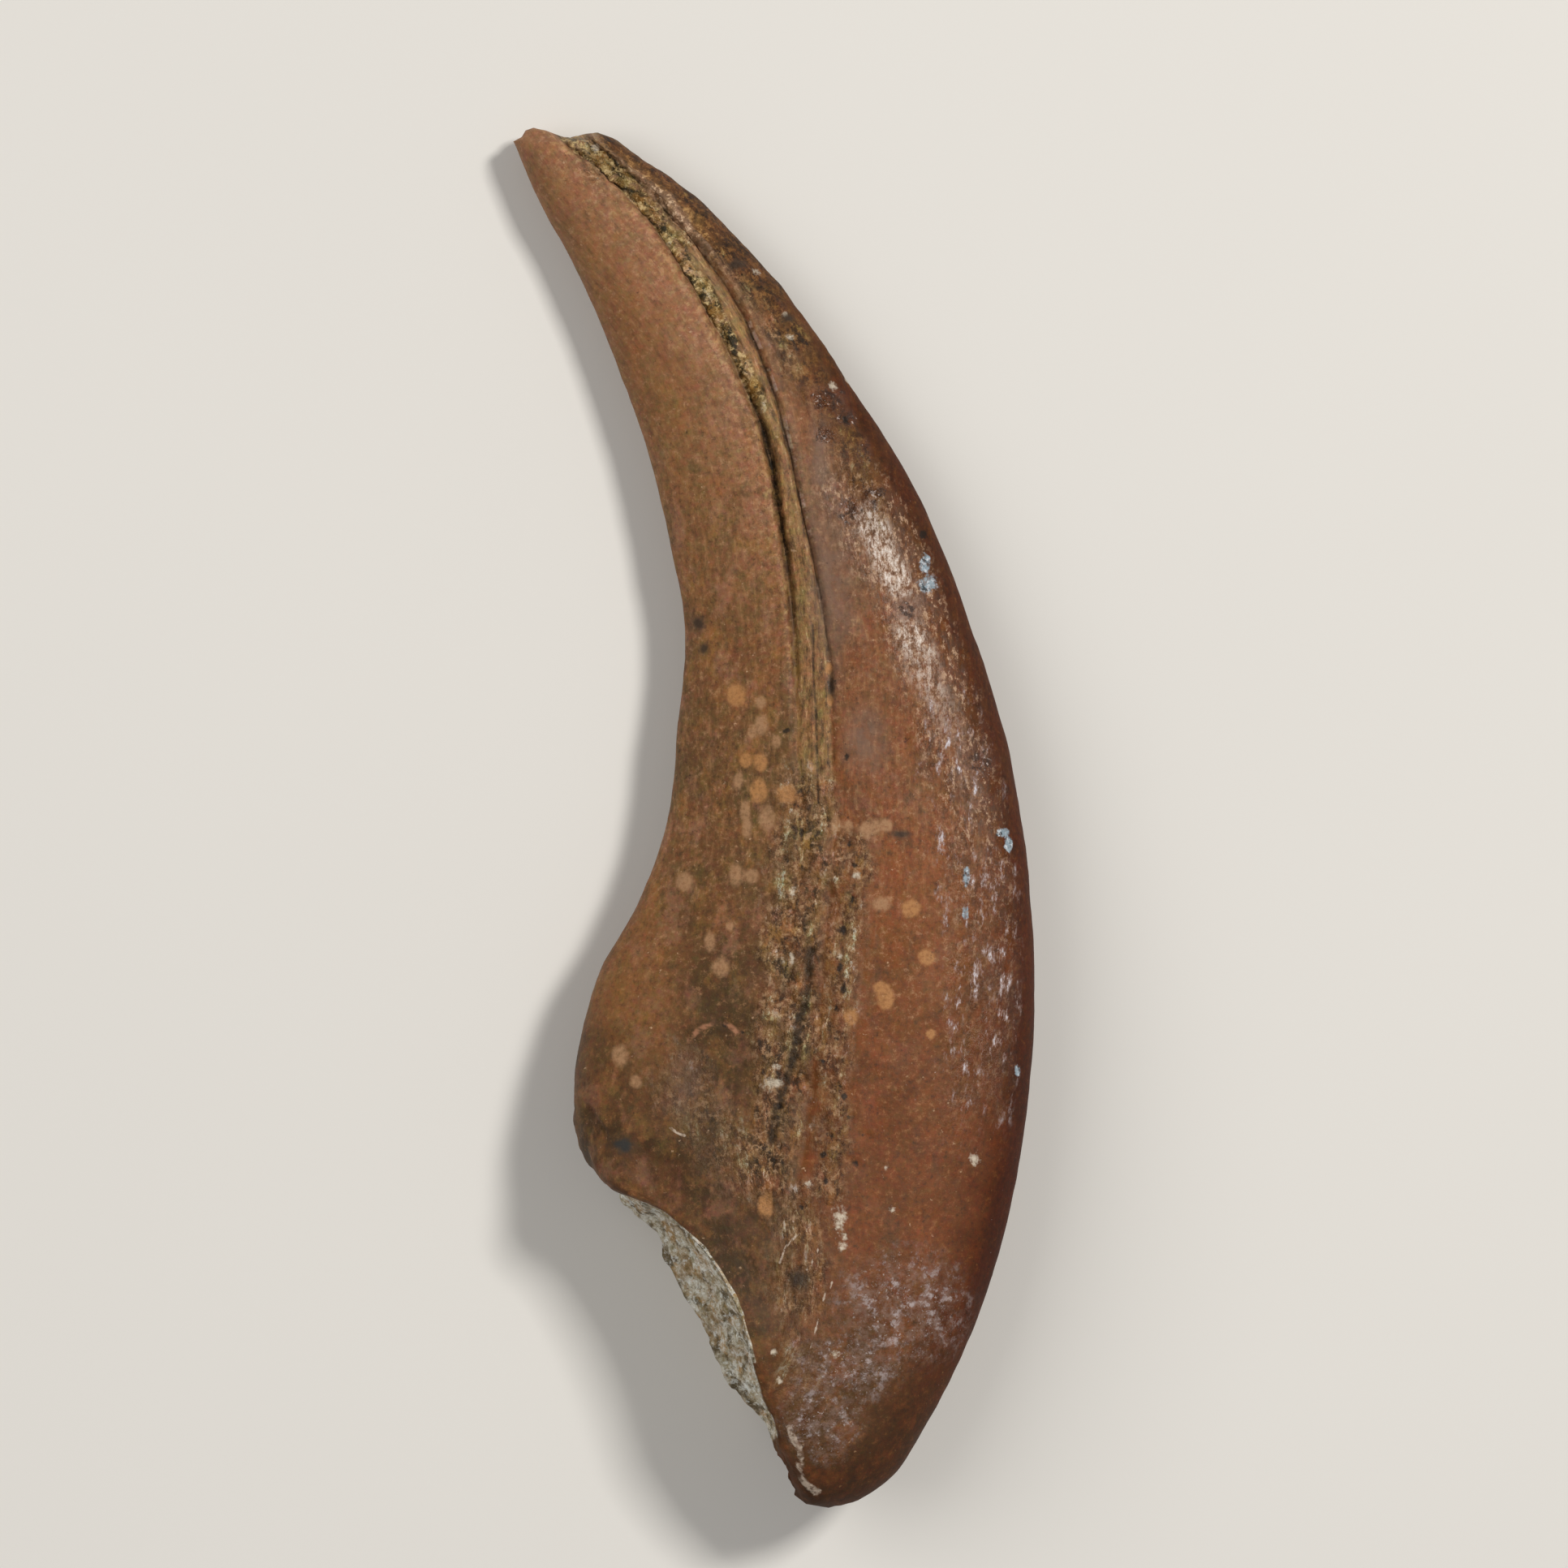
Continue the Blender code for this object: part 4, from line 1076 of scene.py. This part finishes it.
def wear_shade_and_highlight_colour(tree, at, colour):
    """Lilac shades, painted glints and shade on the dented ground, the worn strip with a painted highlight
    and dark crinkles, the crumbs beside the groove, and painted shadow along the furrow.
    """
    span, times = tree.span, tree.times
    patches = tree.patch(at.flow, (0.8, 1.6, 1), 4, 0.6, (5, 5, 0), 0.33, 0.48)
    dent_glint_and_shade = times(at.shine, patches, span(at.along, 14, 20, 1, 0.25))
    wrinkle = tree.noise(at.flow, (3.2, 4.4, 1), 5, 0.8, (6, 9, 0))
    worn = tree.noise(at.flow, (2.6, 4.2, 1), 7, 0.85, (4, 4, 0))
    # Painted shadow along the furrow beside the ridge
    furrow = span(frayed(tree, at, at.furrow, 0.3), 0.26, 0.04, 0.85)
    return tree.paint(
        colour,
        (times(at.lilac, span(at.broken, 0.36, 0.56, 0.65, 0.35)), (124, 98, 82)),
        # Painted shade and painted glints in the small dents
        (times(dent_glint_and_shade, span(wrinkle, 0.5, 0.4, 0.8)), (76, 46, 24)),
        (times(dent_glint_and_shade, span(wrinkle, 0.53, 0.61, 0.72)), (206, 170, 138)),
        # The worn strip: a paler wash, then a painted highlight with its dark crinkles
        (times(at.scuff, 0.3), (160, 124, 100)),
        (times(at.scuff, span(worn, 0.48, 0.38, 0.7)), (92, 58, 38)),
        (times(at.scuff, span(worn, 0.45, 0.54, 0.85)), (220, 196, 178)),
        (times(span(at.scuff, 0.2, 0.9), span(worn, 0.52, 0.59, 0.95)), (240, 229, 221)),
        (times(at.crumbs, span(at.broken, 0.5, 0.6, 0.7)), (136, 104, 54)),
        (times(furrow, span(at.broken, 0.34, 0.5, 1, 0.45)), (44, 32, 18)),
    )


def spot_colour(tree, at, colour):
    """Orange and pale spots, white flecks that are partly chalk and partly painted glints with painted shade
    beside them, and the chalky mottles of the joint end with painted glints.
    """
    span, times, patch = tree.span, tree.times, tree.patch
    orange = span(frayed(tree, at, at.orange, 0.8), -0.2, 0.35, 0.88)
    pale = span(frayed(tree, at, at.pale, 0.8), -0.25, 0.45, 0.8)
    streak = tree.noise(at.flow, (1.5, 3.2, 1), 6, 0.76, (2, 2, 0))
    glint_dash = times(at.fleck, patch(at.flow, (0.45, 1.1, 1), 3, 0.6, (1, 5, 0), 0.42, 0.54))
    chalk = times(at.mottle, patch(at.form, 2, 6, 0.72, (1, 4, 2), 0.5, 0.63, 0.75))
    return tree.paint(
        colour,
        (times(orange, at.faint), (180, 128, 78)),
        (times(pale, at.faint), (172, 132, 96)),
        # White flecks: painted shade beside them, then partly chalk and partly painted glints
        (times(glint_dash, span(streak, 0.44, 0.34, 0.7)), (84, 50, 30)),
        (times(glint_dash, span(streak, 0.52, 0.6, 0.8)), (168, 142, 134)),
        (times(glint_dash, span(streak, 0.58, 0.66, 0.95)), (224, 220, 228)),
        (times(at.mottle, patch(at.form, 2.6, 6, 0.8, (5, 5, 0), 0.43, 0.63, 0.5)), (144, 118, 106)),
        (times(chalk, span(at.grains, 0.43, 0.57, 1, 0.15)), (184, 172, 172)),
        # Painted glints on the mottles
        (times(at.mottle, patch(at.form, 6.5, 3, 0.7, (3, 0, 6), 0.61, 0.69, 0.45)), (214, 204, 200)),
    )


def scab_colour(tree, at, colour):
    """Scabs with painted glints on them, white and blue spots, stains and pits."""
    span, times = tree.span, tree.times
    holes = tree.noise(at.form, 3.6, 5, 0.75, (8, 1, 3))
    white = span(frayed(tree, at, at.white, 3.4), 0.05, 0.8, 0.85)
    blue = span(frayed(tree, at, at.blue, 1.8), 0.05, 0.4, 0.92)
    blue_tone = tree.mix(span(at.broken, 0.42, 0.5), (46, 62, 70), (150, 168, 180))
    stain = frayed(tree, at, at.stain, 0.9)
    brownish = tree.math("MAXIMUM", span(at.across, -3, -2), span(at.along, 13, 15))
    return tree.paint(
        colour,
        (times(at.scab, 0.35), (112, 62, 38)),
        (span(tree.plus(times(at.scab, 0.18), holes), 0.6, 0.76, 0.85), (46, 26, 15)),
        # Painted glints on the scabs
        (span(tree.plus(times(at.scab, 0.14), at.fine), 0.72, 0.82, 0.8), (206, 188, 180)),
        (times(white, at.faint), (216, 204, 184)),
        (times(blue, span(at.grains, 0.38, 0.5, 1, 0.35)),
         tree.mix(span(at.fine, 0.5, 0.62), blue_tone, (214, 222, 230))),
        (span(stain, -0.5, 0.6, 0.6), (60, 50, 38)),
        (span(stain, 0.15, 0.7, 0.8), tree.mix(brownish, (42, 48, 50), (56, 42, 31))),
        (span(frayed(tree, at, at.pit, 2.4), -0.05, 0.55, 0.9), (30, 22, 15)),
    )


def line_colour(tree, at, colour):
    """Pale veins, thin pink lines and cracks."""
    span, times = tree.span, tree.times
    vein = times(span(frayed(tree, at, at.vein, 2.4), 1.1, 0.5), span(at.broken, 0.38, 0.54, 0.85, 0.15))
    pink = span(frayed(tree, at, at.pink, 0.16), 0.13, 0.02, 0.6)
    crack = times(span(at.crack, 0.06, 0.02, 0.75), span(at.broken, 0.38, 0.54, 1, 0.35))
    return tree.paint(colour, (vein, (198, 180, 162)), (pink, (186, 130, 98)), (crack, (36, 25, 14)))


def bone_colour(tree, at):
    """The claw's colour, from its two flanks to its marks and the broken facet."""
    span, times = tree.span, tree.times
    colour = tree.mix(span(at.across, 0.2, 0.9), ventral_colour(tree, at), dorsal_colour(tree, at))
    colour = grain_colour(tree, at, groove_colour(tree, at, colour))
    patchy = tree.plus(tree.noise(at.form, 1.2, 4, 0.65, (3.1, 0, 0)), span(at.along, 34, 37, 0.2))
    flaky = times(at.flaky, span(patchy, 0.36, 0.54, 1, 0.35))
    colour = tree.mix(times(flaky, 0.85), colour, flaky_colour(tree, at))
    grains = times(flaky, span(at.along, 33, 36, 0.9, 0.6))
    colour = crumb_colour(tree, at, grains, (184, 148, 112), (46, 36, 19), colour)
    colour = tree.mix(times(at.crest, 0.5), colour, (164, 128, 100))
    colour = crumb_colour(tree, at, at.crest, (226, 194, 162), (96, 74, 50), colour)
    colour = tree.mix(at.sediment, colour, sediment_colour(tree, at))
    colour = crumb_colour(tree, at, times(at.sediment, 0.85), (216, 188, 134), (42, 36, 17), colour)
    # Painted shade along the edges, where the surface turns away from the light; darkest on the dorsal edge
    colour = tree.mix(span(at.rim, 0, 1, 0.9), colour, PAINTED_RIM_SHADE, "MULTIPLY")
    colour = tree.mix(span(at.rim, 1, 2), colour, PAINTED_DEEP_RIM_SHADE, "MULTIPLY")
    for layer in (wear_shade_and_highlight_colour, spot_colour, scab_colour, line_colour):
        colour = layer(tree, at, colour)
    return tree.mix(span(at.facet, 0.3, 0.6), colour, facet_colour(tree, at))


def bone_material():
    """Fossil bone: its colour, its dull and its polished places and its finest relief."""
    tree = Tree("fossil_bone")
    times, plus = tree.times, tree.plus
    at = tree.read()
    at.ragged = tree.math("SUBTRACT", tree.noise(at.form, 3.4, 5, 0.7), 0.5)
    at.fine = tree.noise(at.form, 7, 3, 0.7, (6, 2, 0))
    at.faint = tree.span(at.fine, 0.3, 0.6, 1, 0.45)
    at.broken = tree.noise(at.form, 2.6, 4, 0.65, (7, 7, 0))
    at.grains = tree.noise(at.form, 3.6, 4, 0.75, (1, 1, 8))

    clustered = tree.patch(at.flow, (0.8, 1.6, 1), 4, 0.6, (5, 5, 0), 0.4, 0.54)
    polish = tree.math("MAXIMUM", times(at.shine, clustered), at.scab)
    gloss = tree.math("SUBTRACT", tree.span(polish, 0, 1, 0.27, 0.66), times(at.flaky, 0.24))
    gloss = tree.math("SUBTRACT", gloss, times(at.sediment, 0.16))
    gloss = plus(gloss, times(at.facet, 0.1), tree.span(at.rim, 0.2, 1.6, 0.3))

    dents = tree.noise(at.flow, (2.6, 4, 1), 4, 0.65, (3, 3, 0))
    height = plus(times(dents, 0.8), times(tree.noise(at.form, 6, 4, 0.7), 0.7))
    strong = plus(times(polish, 1.4), times(at.flaky, 4.0), times(at.sediment, 3.5), times(at.facet, 3.0),
                  times(at.mottle, 1.2), times(at.scuff, 3.0), times(at.fleck, 1.6))
    inputs = {"Height": times(height, plus(1.0, strong)), "Strength": 1.0, "Distance": BUMP_HEIGHT}
    bump = tree.add("ShaderNodeBump", inputs)
    tree.connect(tree.shader, {"Base Color": bone_colour(tree, at), "Roughness": gloss,
                               "Specular IOR Level": BONE_SHINE, "Normal": bump.outputs["Normal"]})
    return tree.material


def floor_material():
    """Plain pale floor with a very faint unevenness."""
    tree = Tree("pale_floor")
    place = tree.add("ShaderNodeTexCoord", {}).outputs["Object"]
    colour = tree.mix(tree.noise(place, 30, 2, 0.55), (228, 226, 222), (232, 230, 226))
    tree.connect(tree.shader, {"Base Color": colour, "Roughness": 0.9, "Specular IOR Level": 0.2})
    return tree.material


def build_floor():
    """A wide floor at the height the claw lies on."""
    bpy.ops.mesh.primitive_plane_add(size=FLOOR_SIDE, location=(0.0, 0.0, 0.0))
    floor = bpy.context.object
    floor.name = "floor"
    floor.data.materials.append(floor_material())


def add_light(name, azimuth, elevation, distance, size, power, colour, in_gloss):
    """A square soft light that looks at the claw. Azimuth 0 is over +X, and 90 over +Y."""
    data = bpy.data.lights.new(name, "AREA")
    data.shape = "SQUARE"
    data.size = size
    data.energy = power
    data.color = colour
    light = bpy.data.objects.new(name, data)
    turn, lift = math.radians(azimuth), math.radians(elevation)
    toward = Vector((math.cos(lift) * math.cos(turn), math.cos(lift) * math.sin(turn), math.sin(lift)))
    light.location = toward * distance
    light.rotation_euler = toward.to_track_quat("Z", "Y").to_euler()
    light.visible_glossy = in_gloss
    bpy.context.scene.collection.objects.link(light)


def build_light():
    """Soft studio light: a key over the dorsal side, a wide fill over the ventral side."""
    add_light("key", 34.0, 53.0, 0.5, 0.09, 1.6, (1.0, 0.97, 0.92), True)
    add_light("fill", 160.0, 50.0, 0.6, 0.5, 1.4, (1.0, 0.97, 0.93), False)
    world = bpy.data.worlds.new("studio")
    world.use_nodes = True
    background = world.node_tree.nodes["Background"]
    background.inputs["Color"].default_value = (1.0, 0.99, 0.98, 1.0)
    background.inputs["Strength"].default_value = 0.2
    bpy.context.scene.world = world


def build_camera():
    """A camera straight above the claw, with the photograph's framing."""
    data = bpy.data.cameras.new("camera")
    data.sensor_width = SENSOR
    data.lens = SENSOR * CAMERA_DISTANCE / VIEW_SIDE
    data.clip_start = 0.01
    data.clip_end = 10.0
    camera = bpy.data.objects.new("camera", data)
    x, y = VIEW_MIDDLE
    camera.location = Vector((x, y, VIEW_PLANE + CAMERA_DISTANCE)) * MM
    bpy.context.scene.collection.objects.link(camera)
    bpy.context.scene.camera = camera


claw = build_claw()
claw.data.materials.append(bone_material())
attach(claw, "root")
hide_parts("claw")
build_floor()
build_light()
build_camera()
bpy.context.scene.view_settings.view_transform = "Standard"
